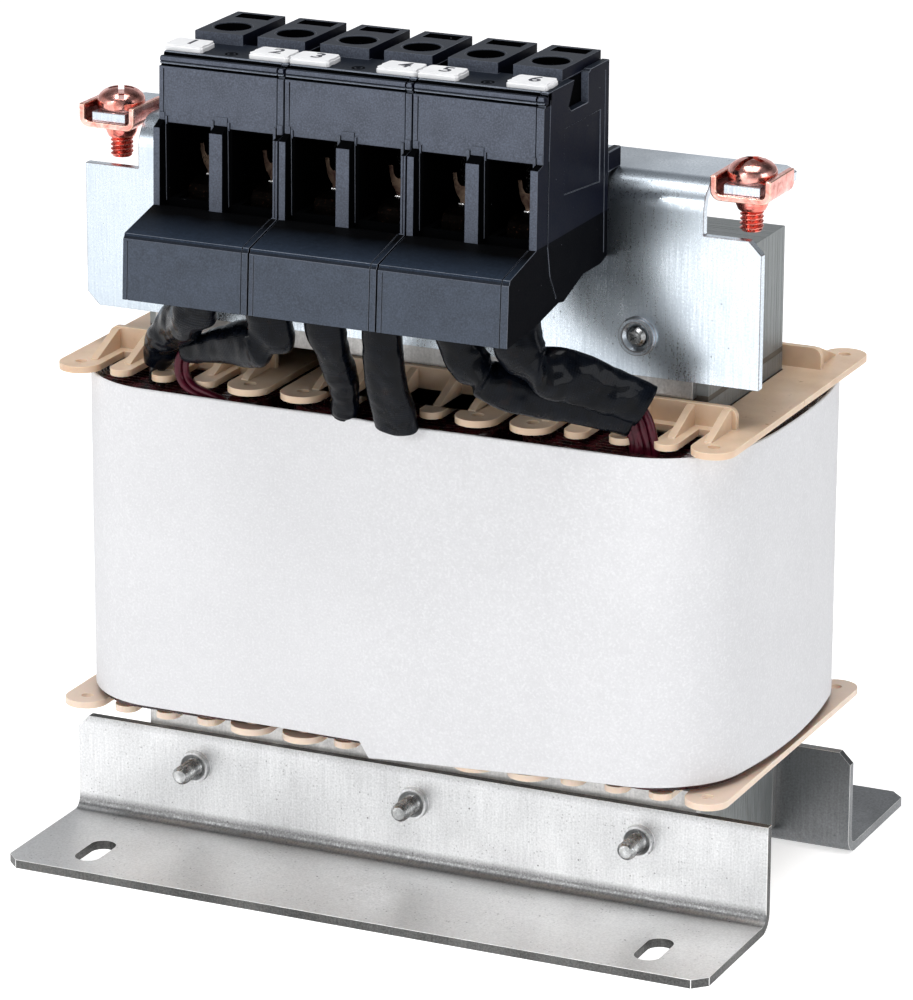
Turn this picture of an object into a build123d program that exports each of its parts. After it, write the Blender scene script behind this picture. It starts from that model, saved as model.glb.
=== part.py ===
from build123d import *
import os
from math import sqrt, cos, sin, radians, atan2, tan

os.makedirs("parts", exist_ok=True)

# ------------------------------------------------------------------ dimensions
# Frame: X along the row of three coils, Y front (-) to rear (+), Z up.
# The pieces are drawn about the centre plane of the core, which all the Y
# values below count from. The terminal hoods overhang the front foot, so put()
# moves every piece back by ORIGIN_Y: the origin is then the centre of the
# overall box, on the mounting surface. Millimetres.
ORIGIN_Y = 9.55
FOOT_W = 200.0          # length of each foot bracket
SHEET = 2.5             # galvanised sheet of the brackets
LEG_IN = 28.5           # inner face of an upright leg, from the centre plane
LEG_OUT = LEG_IN + SHEET
FOOT_TIP = 73.3         # front edge of the foot
LEG_H = 28.9            # height of the upright legs
BEND_IN = 2.6           # inside bend radius
CH_LEG = 3.2            # corner chamfers of the upright legs
CH_FOOT = 3.6           # corner chamfers of the feet
SLOT_X, SLOT_Y = 80.3, 58.6     # centre of a foot slot
SLOT_W, SLOT_L = 7.0, 15.2      # slot width and end-to-end length, along Y
STUD_X, STUD_Z = 64.4, 19.7     # lower clamping bolts
BOLT_D = 5.0            # M5
BOLT_CLR = 5.5
COLLAR_D, COLLAR_H = 8.7, 1.9   # collar drawn out of the sheet round each thread
STUD_TIP = 40.4         # front end of the lower bolts

CORE_HW, CORE_HD = 79.2, 25.6   # half width and half depth of the laminated core
YOKE_LO0, YOKE_LO1 = 2.0, 34.3  # lower yoke
YOKE_UP0, YOKE_UP1 = 139.8, 172.1
LEG_PITCH = 64.4
LEG_W = 29.6
GAP_T = 1.5             # air-gap spacer
BAR_L, BAR_T = 79.2, LEG_IN - CORE_HD   # filler bars between core and sheet
UBAR_L = 76.0

FL_TOP, FL_BOT = 133.5, 39.0    # outer faces of the coil former flanges
FL_T = 1.8
FL_HW = 30.4            # half width of one former's flange
FL_HD = 33.0            # flange web, half depth
LUG_X, LUG_Y, LUG_R = 24.6, 45.7, 5.8
FING_X, FING_Y, FING_W = 12.2, 46.3, 6.4
WALL_Y, WALL_T, WALL_H = 28.7, 1.8, 5.8  # upright walls on the top flange
TUBE_X, TUBE_Y = 16.6, 27.4     # outer half sizes of the former's tube
TUBE_IX, TUBE_IY = 15.1, 25.6

WRAP_TOP, WRAP_BOT = 130.4, 43.0
WRAP_T = 0.8
WRAP_HW, WRAP_HD = 95.5, 52.6
WRAP_RC, WRAP_RE = 25.0, 180.0  # corner radius and radius of the bowed ends
WIND_TOP, WIND_BOT = 130.0, 41.4

PL_HW = 94.8            # carrier plate, half width
PL_Z0, PL_Z1 = 144.6, 182.9     # its lower edge, and the shoulders beside the ears
PL_IN = 79.2            # half width of the upper part
FLANGE_Z = 196.3        # top face of the flange
FLANGE_Y = -4.2         # rear edge of the flange
FLANGE_HW = 95.2
PL_BEND = 8.0           # outside bend radius
EAR_Y0, EAR_Y1 = -29.4, -13.4   # tongue of an earth ear
EAR_C, EAR_HW = 88.6, 4.9
UBOLT_X, UBOLT_Z = 62.0, 155.0

PE_X, PE_Y = 88.6, -22.2
PE_U_IN, PE_U_T = 6.5, 1.6      # half inner width and thickness of the clamp
PE_U_Y0, PE_U_Y1 = -30.6, -14.2

MOD_W = 35.0            # one two-pole terminal module
MOD_C = (-34.1, 0.9, 35.9)
TERM_DX = 8.8           # poles, from the module's centre
DECK_Z = 224.7
TOWER_Z = 227.5
TOWER_W = 13.5
COVER_T = 2.2           # side cover of a module
OPEN_W, OPEN_Z0, OPEN_Z1 = 11.8, 188.0, 207.4
SHAFT_R = 5.2           # screwdriver shaft
SCREW_Y = -47.4
CAGE_Z0, CAGE_Z1 = 190.6, 205.8     # clamping cage, standing on the chamber's floor

nodes = {}


def put(name, shape):
    solids = [Pos(0, ORIGIN_Y, 0) * s for s in shape.solids()]
    shape = solids[0] if len(solids) == 1 else Compound(children=solids)
    nodes[name] = shape
    export_step(shape, "parts/" + name + ".step")


def box(x0, x1, y0, y1, z0, z1):
    return Pos((x0 + x1) / 2, (y0 + y1) / 2, (z0 + z1) / 2) * Box(abs(x1 - x0), abs(y1 - y0), abs(z1 - z0))


def cyl_y(x, z, y0, y1, r):
    """A cylinder along Y."""
    return Pos(x, (y0 + y1) / 2, z) * Rot(90, 0, 0) * Cylinder(r, abs(y1 - y0))


def cyl_z(x, y, z0, z1, r):
    return Pos(x, y, (z0 + z1) / 2) * Cylinder(r, abs(z1 - z0))


def prism_yz(pts, x0, x1):
    """A prism along X from a closed outline of (y, z) points."""
    f = make_face(Polyline([(0, y, z) for y, z in pts], close=True))
    return Pos(x0, 0, 0) * extrude(f, amount=x1 - x0, dir=(1, 0, 0))


def group(shapes):
    return Compound(children=list(shapes))


def one(shape):
    """The single solid of a boolean result."""
    s = shape.solids()
    return s[0] if len(s) == 1 else Compound(children=list(s))


# --------------------------------------------------------------- foot brackets
def foot_bracket(side):
    """An angle of bent sheet; side -1 is the front one, +1 the rear one."""
    s = side
    ro = BEND_IN + SHEET
    prof = [(LEG_IN, 0 + ro), (LEG_IN, LEG_H), (LEG_OUT, LEG_H), (LEG_OUT, SHEET + BEND_IN)]
    # section: upright leg, bend, foot
    with BuildSketch(Plane.YZ) as sk:
        with BuildLine():
            l1 = Line((LEG_OUT, SHEET + BEND_IN), (LEG_OUT, LEG_H))
            l2 = Line((LEG_OUT, LEG_H), (LEG_IN, LEG_H))
            l3 = Line((LEG_IN, LEG_H), (LEG_IN, ro))
            a1 = RadiusArc((LEG_IN, ro), (LEG_IN + ro, 0), -ro)
            l4 = Line((LEG_IN + ro, 0), (FOOT_TIP, 0))
            l5 = Line((FOOT_TIP, 0), (FOOT_TIP, SHEET))
            l6 = Line((FOOT_TIP, SHEET), (LEG_OUT + BEND_IN, SHEET))
            a2 = RadiusArc((LEG_OUT + BEND_IN, SHEET), (LEG_OUT, SHEET + BEND_IN), BEND_IN)
        make_face()
    b = extrude(sk.sketch, amount=FOOT_W / 2, both=True)
    # corner chamfers, cut as wedges
    for sx in (-1, 1):
        x = sx * FOOT_W / 2
        w = Polyline([(x, LEG_H), (x - sx * CH_LEG, LEG_H), (x, LEG_H - CH_LEG)], close=True)
        wedge = extrude(make_face(Plane.XZ * w), amount=-60)
        b = b - Pos(0, 10, 0) * wedge
        v = Polyline([(x, FOOT_TIP), (x - sx * CH_FOOT, FOOT_TIP), (x, FOOT_TIP - CH_FOOT)], close=True)
        b = b - Pos(0, 0, -1) * extrude(make_face(v), amount=6)
        b = b - Pos(sx * SLOT_X, SLOT_Y, SHEET / 2) * extrude(SlotOverall(SLOT_L, SLOT_W, rotation=90), amount=4, both=True)
    if side < 0:
        b = b + [cyl_y(x, STUD_Z, LEG_OUT - 0.5, LEG_OUT + COLLAR_H, COLLAR_D / 2) for x in (-STUD_X, 0, STUD_X)]
        b = b - [cyl_y(x, STUD_Z, LEG_IN - 1, LEG_OUT + 6, BOLT_D / 2 + 0.05) for x in (-STUD_X, 0, STUD_X)]
        b = b - [Pos(x, LEG_OUT + COLLAR_H - 0.45, STUD_Z) * Rot(-90, 0, 0) * Cone(BOLT_D / 2 + 0.05, BOLT_D / 2 + 1.15, 0.92) for x in (-STUD_X, 0, STUD_X)]
        b = Rot(0, 0, 180) * b
    else:
        b = b - [cyl_y(x, STUD_Z, LEG_IN - 1, LEG_OUT + 6, BOLT_CLR / 2) for x in (-STUD_X, 0, STUD_X)]
    return one(b)


put("front_foot_bracket", foot_bracket(-1))
put("rear_foot_bracket", foot_bracket(1))

# ------------------------------------------------------------------------ core
core = box(-CORE_HW, CORE_HW, -CORE_HD, CORE_HD, YOKE_LO0, YOKE_LO1)
LEG_TOP = YOKE_UP0 - GAP_T
for i in (-1, 0, 1):
    core = core + box(i * LEG_PITCH - LEG_W / 2, i * LEG_PITCH + LEG_W / 2, -CORE_HD, CORE_HD, YOKE_LO1, LEG_TOP)
for x in (-STUD_X, 0, STUD_X):
    core = core - cyl_y(x, STUD_Z, -CORE_HD - 1, CORE_HD + 1, BOLT_CLR / 2)
put("core_e_stack", one(core))

yoke = box(-CORE_HW, CORE_HW, -CORE_HD, CORE_HD, YOKE_UP0, YOKE_UP1)
for x in (-UBOLT_X, UBOLT_X):
    yoke = yoke - cyl_y(x, UBOLT_Z, -CORE_HD - 1, CORE_HD + 1, BOLT_CLR / 2)
put("core_top_yoke", one(yoke))

put("air_gap_spacers", group([box(i * LEG_PITCH - LEG_W / 2, i * LEG_PITCH + LEG_W / 2, -CORE_HD, CORE_HD, LEG_TOP, YOKE_UP0) for i in (-1, 0, 1)]))


def bar(y0, y1, hl, z0, z1, xs, zb):
    b = box(-hl, hl, y0, y1, z0, z1)
    for x in xs:
        b = b - cyl_y(x, zb, y0 - 1, y1 + 1, BOLT_CLR / 2)
    return one(b)


LX = (-STUD_X, 0, STUD_X)
UX = (-UBOLT_X, UBOLT_X)
put("lower_front_bar", bar(-LEG_IN, -CORE_HD, BAR_L, 5.2, YOKE_LO1, LX, STUD_Z))
put("lower_rear_bar", bar(CORE_HD, LEG_IN, BAR_L, 5.2, YOKE_LO1, LX, STUD_Z))
put("upper_front_bar", bar(-LEG_IN, -CORE_HD, UBAR_L, 139.2, 171.0, UX, UBOLT_Z))
put("upper_rear_bar", bar(CORE_HD, LEG_IN, UBAR_L, 139.2, 171.0, UX, UBOLT_Z))


# ---------------------------------------------------------------- coil formers
def flange(z0, holes):
    f = Rectangle(2 * FL_HW, 2 * FL_HD)
    for sy in (-1, 1):
        for sx in (-1, 1):
            f = f + Pos(sx * (FL_HW - LUG_R), sy * (FL_HD + LUG_Y) / 2) * Rectangle(2 * LUG_R, LUG_Y - FL_HD + 0.02)
            f = f + Pos(sx * LUG_X, sy * LUG_Y) * Circle(LUG_R)
        for fx in (-FING_X, 0, FING_X):
            f = f + Pos(fx, sy * (FL_HD + FING_Y) / 2) * Rectangle(FING_W, FING_Y - FL_HD + 0.02)
            f = f + Pos(fx, sy * FING_Y) * Circle(FING_W / 2)
    f = f - Rectangle(2 * TUBE_IX, 2 * TUBE_IY)
    b = extrude(f, amount=FL_T)
    if holes:
        for sx in (-1, 1):
            for sy in (-1, 1):
                b = b - Pos(sx * LUG_X, sy * LUG_Y, FL_T / 2) * Cylinder(1.6, 4)
    return Pos(0, 0, z0) * b


def former(xc):
    b = flange(FL_TOP - FL_T, True) + flange(FL_BOT, True)
    tube = Box(2 * TUBE_X, 2 * TUBE_Y, FL_TOP - FL_BOT) - Box(2 * TUBE_IX, 2 * TUBE_IY, FL_TOP - FL_BOT + 2)
    b = b + Pos(0, 0, (FL_TOP + FL_BOT) / 2) * tube
    # upright walls along the yoke, with a rounded upper corner at each end
    for sy in (-1, 1):
        w = RectangleRounded(2 * 24.4, 2 * WALL_H, 2.6)
        wall = extrude(Plane.XZ * w, amount=WALL_T / 2, both=True)
        wall = wall & box(-40, 40, -5, 5, 0, 20)
        b = b + Pos(0, sy * (WALL_Y + WALL_T / 2), FL_TOP) * wall
        # triangular ribs from the wall to each finger
        for fx in (-22.0, -FING_X, 0, FING_X, 22.0):
            yi, yo = sy * (WALL_Y + WALL_T - 0.2), sy * 43.6
            g = prism_yz([(yi, FL_TOP - 0.3), (yi, FL_TOP + WALL_H - 0.5), (sy * (WALL_Y + WALL_T + 1.0), FL_TOP + WALL_H - 0.5), (yo, FL_TOP + 0.3), (yo, FL_TOP - 0.3)], fx - 1.0, fx + 1.0)
            b = b + g
    return Pos(xc, 0, 0) * one(b)


for name, i in (("left", -1), ("middle", 0), ("right", 1)):
    put("coil_former_" + name, former(i * LEG_PITCH))


# -------------------------------------------------------------- windings, wrap
def stadium(off):
    """Plan outline of the wrapped coils, drawn in by off: straight sides, round
    corners and slightly bowed ends."""
    hw, hd = WRAP_HW - off, WRAP_HD - off
    re, rc = WRAP_RE - off, WRAP_RC - off
    ex = hw - re                       # centre of the end bow
    cy = hd - rc
    cx = ex + sqrt((re - rc) ** 2 - cy ** 2)
    d = re - rc
    tx, ty = ex + re * (cx - ex) / d, re * cy / d
    a = atan2(ty - cy, tx - cx)
    m = (a + radians(90)) / 2
    mx, my = cx + rc * cos(m), cy + rc * sin(m)
    with BuildSketch() as sk:
        with BuildLine():
            Line((-cx, -hd), (cx, -hd))
            ThreePointArc((cx, -hd), (mx, -my), (tx, -ty))
            ThreePointArc((tx, -ty), (hw, 0), (tx, ty))
            ThreePointArc((tx, ty), (mx, my), (cx, hd))
            Line((cx, hd), (-cx, hd))
            ThreePointArc((-cx, hd), (-mx, my), (-tx, ty))
            ThreePointArc((-tx, ty), (-hw, 0), (-tx, -ty))
            ThreePointArc((-tx, -ty), (-mx, -my), (-cx, -hd))
        make_face()
    return sk.sketch


def winding(i):
    xc = i * LEG_PITCH
    f = stadium(WRAP_T)
    r = Pos(xc, 0) * RectangleRounded(2 * 31.6, 2 * (WRAP_HD - WRAP_T), 11)
    f = f & r
    f = f - Pos(xc, 0) * Rectangle(2 * TUBE_X, 2 * TUBE_Y)
    return Pos(0, 0, WIND_BOT) * one(extrude(f, amount=WIND_TOP - WIND_BOT))


for name, i in (("left", -1), ("middle", 0), ("right", 1)):
    put("winding_" + name, winding(i))

wrap = extrude(stadium(0), amount=WRAP_TOP - WRAP_BOT) - extrude(stadium(WRAP_T), amount=WRAP_TOP - WRAP_BOT)
put("outer_wrap", Pos(0, 0, WRAP_BOT) * one(wrap))

# --------------------------------------------------------------- carrier plate
# Sheet angle on the front of the top yoke: an upright plate, a wide bend and a
# level flange, with an ear for the earth terminal at each end of the flange.
yb = -LEG_IN
with BuildSketch(Plane.YZ) as sk:
    with BuildLine():
        Line((-LEG_OUT, PL_Z0), (-LEG_OUT, FLANGE_Z - PL_BEND))
        RadiusArc((-LEG_OUT, FLANGE_Z - PL_BEND), (-LEG_OUT + PL_BEND, FLANGE_Z), PL_BEND)
        Line((-LEG_OUT + PL_BEND, FLANGE_Z), (FLANGE_Y, FLANGE_Z))
        Line((FLANGE_Y, FLANGE_Z), (FLANGE_Y, FLANGE_Z - SHEET))
        Line((FLANGE_Y, FLANGE_Z - SHEET), (-LEG_OUT + PL_BEND, FLANGE_Z - SHEET))
        RadiusArc((-LEG_OUT + PL_BEND, FLANGE_Z - SHEET), (-LEG_IN, FLANGE_Z - PL_BEND), -(PL_BEND - SHEET))
        Line((-LEG_IN, FLANGE_Z - PL_BEND), (-LEG_IN, PL_Z0))
        Line((-LEG_IN, PL_Z0), (-LEG_OUT, PL_Z0))
    make_face()
plate = extrude(sk.sketch, amount=PL_IN, both=True)
for sx in (-1, 1):
    # shoulder of the upright plate beside the ear
    sh = box(sx * (PL_IN - 1), sx * PL_HW, -LEG_OUT, -LEG_IN, PL_Z0, PL_Z1)
    plate = plate + sh
    # flange end and ear tongue
    plate = plate + box(sx * (PL_IN - 1), sx * FLANGE_HW, EAR_Y1, FLANGE_Y, FLANGE_Z - SHEET, FLANGE_Z)
    plate = plate + box(sx * (EAR_C - EAR_HW), sx * (EAR_C + EAR_HW), EAR_Y0, EAR_Y1 + 1, FLANGE_Z - SHEET, FLANGE_Z)
    plate = plate - cyl_z(sx * PE_X, PE_Y, FLANGE_Z - 5, FLANGE_Z + 2, 3.2)
    # corner chamfers
    for x, z, dz in ((sx * PL_HW, PL_Z1, -3.4), (sx * PL_HW, PL_Z0, 3.4)):
        w = Polyline([(x, z), (x - sx * 3.4, z), (x, z + dz)], close=True)
        plate = plate - Pos(0, -LEG_OUT + 5, 0) * extrude(make_face(Plane.XZ * w), amount=10)
    v = Polyline([(sx * FLANGE_HW, FLANGE_Y), (sx * (FLANGE_HW - 4.4), FLANGE_Y), (sx * FLANGE_HW, FLANGE_Y - 4.6)], close=True)
    plate = plate - Pos(0, 0, FLANGE_Z - 4) * extrude(make_face(v), amount=8)
plate = plate + [cyl_y(x, UBOLT_Z, -LEG_OUT - 1.5, -LEG_OUT + 0.5, 4.9) for x in UX]
plate = plate - [cyl_y(x, UBOLT_Z, -LEG_OUT - 4, -LEG_IN + 1, BOLT_D / 2 + 0.05) for x in UX]
plate = plate - [Pos(x, -LEG_OUT - 1.05, UBOLT_Z) * Rot(90, 0, 0) * Cone(BOLT_D / 2 + 0.05, BOLT_D / 2 + 1.35, 0.92) for x in UX]
put("terminal_carrier_plate", one(plate))


# ----------------------------------------------------------------------- bolts
def hexbolt(x, z, y_head, y_tip):
    """Hexagon bolt along Y: the head at the rear, the tip at the front."""
    b = cyl_y(x, z, y_head, y_tip, BOLT_D / 2)
    e = b.edges().filter_by(GeomType.CIRCLE).sort_by(Axis.Y)[0]
    b = chamfer(e, 0.7)
    h = Pos(x, y_head, z) * Rot(-90, 0, 0) * extrude(RegularPolygon(8 / 2 / cos(radians(30)), 6), amount=3.5)
    return one(b + h)


put("lower_core_bolts", group([hexbolt(x, STUD_Z, LEG_OUT + 1.0, -STUD_TIP) for x in LX]))
put("upper_core_bolts", group([hexbolt(x, UBOLT_Z, LEG_IN + 1.0, -LEG_OUT - 1.9) for x in UX]))


def washer(x, z, y0):
    return cyl_y(x, z, y0, y0 + 1.0, 5.0) - cyl_y(x, z, y0 - 1, y0 + 2, BOLT_CLR / 2)


put("bolt_washers", group([one(washer(x, STUD_Z, LEG_OUT)) for x in LX] + [one(washer(x, UBOLT_Z, LEG_IN)) for x in UX]))

# -------------------------------------------------------------- earth terminals
for name, sx in (("left", -1), ("right", 1)):
    zc = FLANGE_Z - SHEET
    u0, u1 = PE_X - PE_U_IN, PE_X + PE_U_IN
    c = box(sx * (u0 - PE_U_T), sx * (u1 + PE_U_T), PE_U_Y0, PE_U_Y1, zc - PE_U_T, zc)
    for a, b_ in ((u0 - PE_U_T, u0), (u1, u1 + PE_U_T)):
        c = c + box(sx * a, sx * b_, PE_U_Y0, PE_U_Y1, zc - 0.01, zc + 4.6)
    outer = [e for e in c.edges().filter_by(Axis.Y) if abs(e.center().Z - (zc - PE_U_T)) < 0.01]
    c = fillet(outer, 1.5)
    c = c + Pos(sx * PE_X, PE_Y, zc - PE_U_T - 1.4) * Cone(3.2, 4.1, 2.84)
    c = c - cyl_z(sx * PE_X, PE_Y, zc - 8, zc + 1, 3.05)
    put("earth_clamp_" + name, one(c))
    s = cyl_z(sx * PE_X, PE_Y, 183.2, FLANGE_Z + 0.6, 3.0)
    s = chamfer(s.edges().filter_by(GeomType.CIRCLE).sort_by(Axis.Z)[0], 0.7)
    head = cyl_z(sx * PE_X, PE_Y, FLANGE_Z, FLANGE_Z + 2.3, 6.3)
    R = (6.3 ** 2 + 2.6 ** 2) / (2 * 2.6)
    dome = (Pos(sx * PE_X, PE_Y, FLANGE_Z + 2.3 + 2.6 - R) * Sphere(R)) & cyl_z(sx * PE_X, PE_Y, FLANGE_Z + 2.3, FLANGE_Z + 8, 6.3)
    head = head + dome
    s = s + head
    zt = FLANGE_Z + 4.9
    s = s - box(sx * PE_X - 0.6, sx * PE_X + 0.6, PE_Y - 7, PE_Y + 7, zt - 1.9, zt + 1)
    s = s - box(sx * PE_X - 3.3, sx * PE_X + 3.3, PE_Y - 0.6, PE_Y + 0.6, zt - 2.6, zt + 1)
    put("earth_screw_" + name, one(s))

# ------------------------------------------------------------- terminal modules
# Side profile of a module, (y, z).
PROF = [(-68.0, DECK_Z), (-70.8, 224.2), (-71.1, 221.4), (-71.5, OPEN_Z1), (-74.7, OPEN_Z1 - 0.8), (-75.2, 186.8),
        (-91.4, 183.0), (-92.4, 166.4), (-77.8, 167.2), (-61.1, 170.2), (-58.2, 169.7),
        (-46.0, 173.8), (-35.3, 173.8), (-31.0, 174.9), (-31.0, DECK_Z + 0.6), (-42.6, DECK_Z + 0.6), (-43.4, DECK_Z)]
# the same without the ribs that stand in front of the openings
WALLP = [(-68.0, DECK_Z), (-70.8, 224.2), (-71.1, 221.4), (-71.5, OPEN_Z1), (-71.9, 186.0), (-75.2, 186.8),
         (-91.4, 183.0), (-92.4, 166.4), (-77.8, 167.2), (-61.1, 170.2), (-58.2, 169.7),
         (-46.0, 173.8), (-35.3, 173.8), (-31.0, 174.9), (-31.0, DECK_Z)]
GAPM = 0.05             # half the gap between neighbouring modules
GROOVES = ((221.85, 0.3, -70.3),)   # height, half width and floor of the groove under the deck's rounded edge


def housing(xc):
    x0, x1 = xc - MOD_W / 2 + GAPM, xc + MOD_W / 2 - COVER_T - 0.02
    b = prism_yz(WALLP, x0, x1)
    # ribs standing forward between the wire openings
    rib = [(-70.2, OPEN_Z1 + 1.0), (-71.0, OPEN_Z1 + 1.0), (-74.7, OPEN_Z1 - 0.8), (-75.2, 186.8), (-75.0, 185.0), (-70.2, 185.0)]
    b = b + prism_yz(rib, xc - 1.8, xc + 1.8)
    b = b + prism_yz(rib, x0, x0 + 1.75)
    # towers round the screwdriver shafts
    for sx in (-1, 1):
        xt = xc + sx * TERM_DX
        b = b + box(xt - TOWER_W / 2, xt + TOWER_W / 2 - (0.35 if sx > 0 else 0), -55.2, -31.2, DECK_Z - 1, TOWER_Z)
    # gaps beside the towers
    gap = TERM_DX - TOWER_W / 2
    b = b - box(xc - gap, xc + gap, -53.6, -32.6, 216.0, 240)
    b = b - box(xc - MOD_W / 2 - 1, xc - TERM_DX - TOWER_W / 2, -53.6, -32.6, 216.0, 240)
    for sx in (-1, 1):
        xt = xc + sx * TERM_DX
        # wire opening and clamping chamber
        b = b - box(xt - OPEN_W / 2, xt + OPEN_W / 2, -78, -53.4, OPEN_Z0, OPEN_Z1 - 0.2)
        b = b - box(xt - OPEN_W / 2, xt + OPEN_W / 2, -53.5, -37.9, CAGE_Z0, OPEN_Z1 - 0.2)
        # screwdriver shaft and rear pocket
        b = b - cyl_z(xt, SCREW_Y, OPEN_Z1 - 1, TOWER_Z + 2, SHAFT_R)
        b = b - box(xt - 4.8, xt + 4.8, -37.4, -32.4, TOWER_Z - 6.5, TOWER_Z + 2)
        # lead well, open below, and the throat into the chamber
        b = b - box(xt - 6.0, xt + 6.0, -77.0, -59.6, 160.0, 181.5)
        b = b - box(xt - 4.2, xt + 4.2, -70.4, -63.4, 178.0, OPEN_Z0 + 1)
    # hollow behind the hood's front wall, open below
    b = b - box(xc - 15.3, x1 + 1 - 1, -90.2, -79.0, 160.0, 181.0)
    # groove under the deck edge
    for z, h, y in GROOVES:
        b = b - box(x0 - 1, x1 + 1, -75, y, z - h, z + h)
    # foot that hooks over the flange
    b = b + box(xc - 14.6, xc - 12.4, -31.1, -22.8, FLANGE_Z, FLANGE_Z + 5.2)
    return one(b)


def side_cover(xc):
    x0, x1 = xc + MOD_W / 2 - COVER_T, xc + MOD_W / 2 - GAPM
    b = prism_yz(PROF, x0, x1)
    # window beside the last screw
    b = b - prism_yz([(-56.2, 218.6), (-54.6, 217.3), (-44.2, 217.3), (-44.2, 228), (-51.1, 228), (-53.2, 224.0)], x0 - 1, x1 + 1)
    for z, h, y in GROOVES:
        b = b - box(x0 - 1, x1 + 1, -75, y, z - h, z + h)
    b = b + box(x0, x1, -31.1, -22.8, FLANGE_Z, FLANGE_Z + 5.2)
    # shallow recessed field on the outer face
    b = b - box(x1 - 0.3, x1 + 1, -58.6, -36.2, 195.2, 213.6)
    return one(b)


WHO = (("left", MOD_C[0]), ("middle", MOD_C[1]), ("right", MOD_C[2]))
for name, xc in WHO:
    put("terminal_housing_" + name, housing(xc))
    put("terminal_side_cover_" + name, side_cover(xc))

TX = [xc + s * TERM_DX for xc in MOD_C for s in (-1, 1)]
cages, screws, bars_ = [], [], []
for xt in TX:
    # steel clamping cage with a window for bar and wire
    c = box(xt - 4.7, xt + 4.7, SCREW_Y - 4.6, SCREW_Y + 4.6, CAGE_Z0, CAGE_Z1) - box(xt - 3.5, xt + 3.5, SCREW_Y - 6, SCREW_Y + 6, 192.2, 203.6)
    c = c - cyl_z(xt, SCREW_Y, 203, 207, 2.45)
    cages.append(one(c))
    s = cyl_z(xt, SCREW_Y, 200.8, 207.0, 2.4) + cyl_z(xt, SCREW_Y, CAGE_Z1, 210.0, 4.2)
    s = s - box(xt - 5, xt + 5, SCREW_Y - 0.5, SCREW_Y + 0.5, 208.4, 211)
    screws.append(one(s))
    # copper bar: level on the cage's floor, then down into the lead well
    g = box(xt - 3.2, xt + 3.2, -68.4, SCREW_Y + 5.8, 192.2, 193.8) + box(xt - 3.2, xt + 3.2, -68.4, -66.8, 178.0, 193.0)
    bars_.append(one(g))
put("terminal_cages", group(cages))
put("terminal_screws", group(screws))
put("terminal_bars", group(bars_))

TAG_W = 11.0
n = 0
for xc in MOD_C:
    for s in (-1, 1):
        n += 1
        xm = xc - 1.1 + s * 11.9
        t = box(xm - TAG_W / 2, xm + TAG_W / 2, -67.2, -59.0, DECK_Z, DECK_Z + 1.6)
        top = [e for e in t.edges() if abs(e.center().Z - DECK_Z - 1.6) < 0.01]
        t = chamfer(top, 0.5)
        put("marker_tag_%d" % n, one(t))


# ----------------------------------------------------------------------- leads
# Each lead: three wires side by side in a varnished sleeve. Route points from
# the copper bar's end down to the gap between two fingers of a coil former.
SLEEVE_R, COND_R = 4.9, 2.3
ROUTES = {
    1: [(TX[0], -67.6, 178.0), (TX[0], -67.6, 166.4), (-46.0, -58.4, 157.4), (-52.2, -46.4, 151.0), (-61.0, -40.6, 146.2), (-70.4, -41.6, 139.6), (-70.4, -41.6, 130.0)],
    2: [(TX[1], -67.6, 178.0), (TX[1], -67.6, 166.0), (-27.6, -62.0, 154.0), (-35.4, -58.6, 147.0), (-46.6, -56.6, 144.4), (-58.3, -48.4, 141.0), (-58.3, -48.4, 130.0)],
    3: [(TX[2], -67.6, 178.0), (TX[2], -67.6, 165.0), (-7.8, -63.6, 152.0), (-7.0, -55.0, 142.0), (-6.1, -47.6, 138.0), (-6.1, -47.6, 130.0)],
    4: [(TX[3], -67.6, 178.0), (TX[3], -67.6, 166.0), (9.6, -69.6, 153.0), (8.0, -61.0, 141.4), (6.1, -48.0, 138.0), (6.1, -48.0, 130.0)],
    5: [(TX[4], -67.6, 178.0), (TX[4], -67.6, 167.0), (28.0, -70.2, 157.0), (33.0, -63.6, 147.4), (42.4, -54.8, 141.4), (58.3, -45.6, 138.0), (58.3, -45.6, 130.0)],
    6: [(TX[5], -67.6, 178.0), (TX[5], -67.6, 167.6), (46.2, -69.0, 158.6), (51.8, -61.6, 150.2), (61.4, -51.4, 145.2), (70.5, -44.8, 140.4), (70.5, -44.8, 130.0)],
}
# part of the route covered by the sleeve, as trimmed lengths from each end
TRIM0 = 3.0
TRIM1 = {1: 11.5, 2: 14.0, 3: 9.0, 4: 10.5, 5: 12.5, 6: 12.0}


def route_path(pts, rmax=None):
    P = [Vector(*p) for p in pts]
    radii = []
    for a, b, c in zip(P[:-2], P[1:-1], P[2:]):
        turn = radians((b - a).get_angle(c - b))
        run = min((b - a).length, (c - b).length)
        radii.append(0.45 * run / tan(turn / 2))
    return radii


for k, pts in ROUTES.items():
    radii = route_path(pts)
    path = FilletPolyline(*pts, radius=radii)
    L = path.length
    cond = sweep(Plane(origin=path @ 0, z_dir=path % 0) * Circle(COND_R), path=path)
    put("lead_wires_%d" % k, one(cond))
    sub = path.trim(TRIM0 / L, 1 - TRIM1[k] / L)
    pl = Plane(origin=sub @ 0, z_dir=sub % 0)
    tube = sweep(pl * (Circle(SLEEVE_R) - Circle(COND_R + 0.15)), path=sub)
    put("lead_sleeve_%d" % k, one(tube))
    print("lead", k, "length %.1f" % L, "volume ratio %.3f" % (nodes["lead_wires_%d" % k].volume / (3.14159265 * COND_R ** 2 * L)),
          "sleeve %.1f" % sub.length, "radii", [round(r, 1) for r in radii])

print(len(nodes), "nodes")
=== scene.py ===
import bpy
import bmesh
import math
import random
import numpy as np
from mathutils import Vector, Matrix, noise


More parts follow.
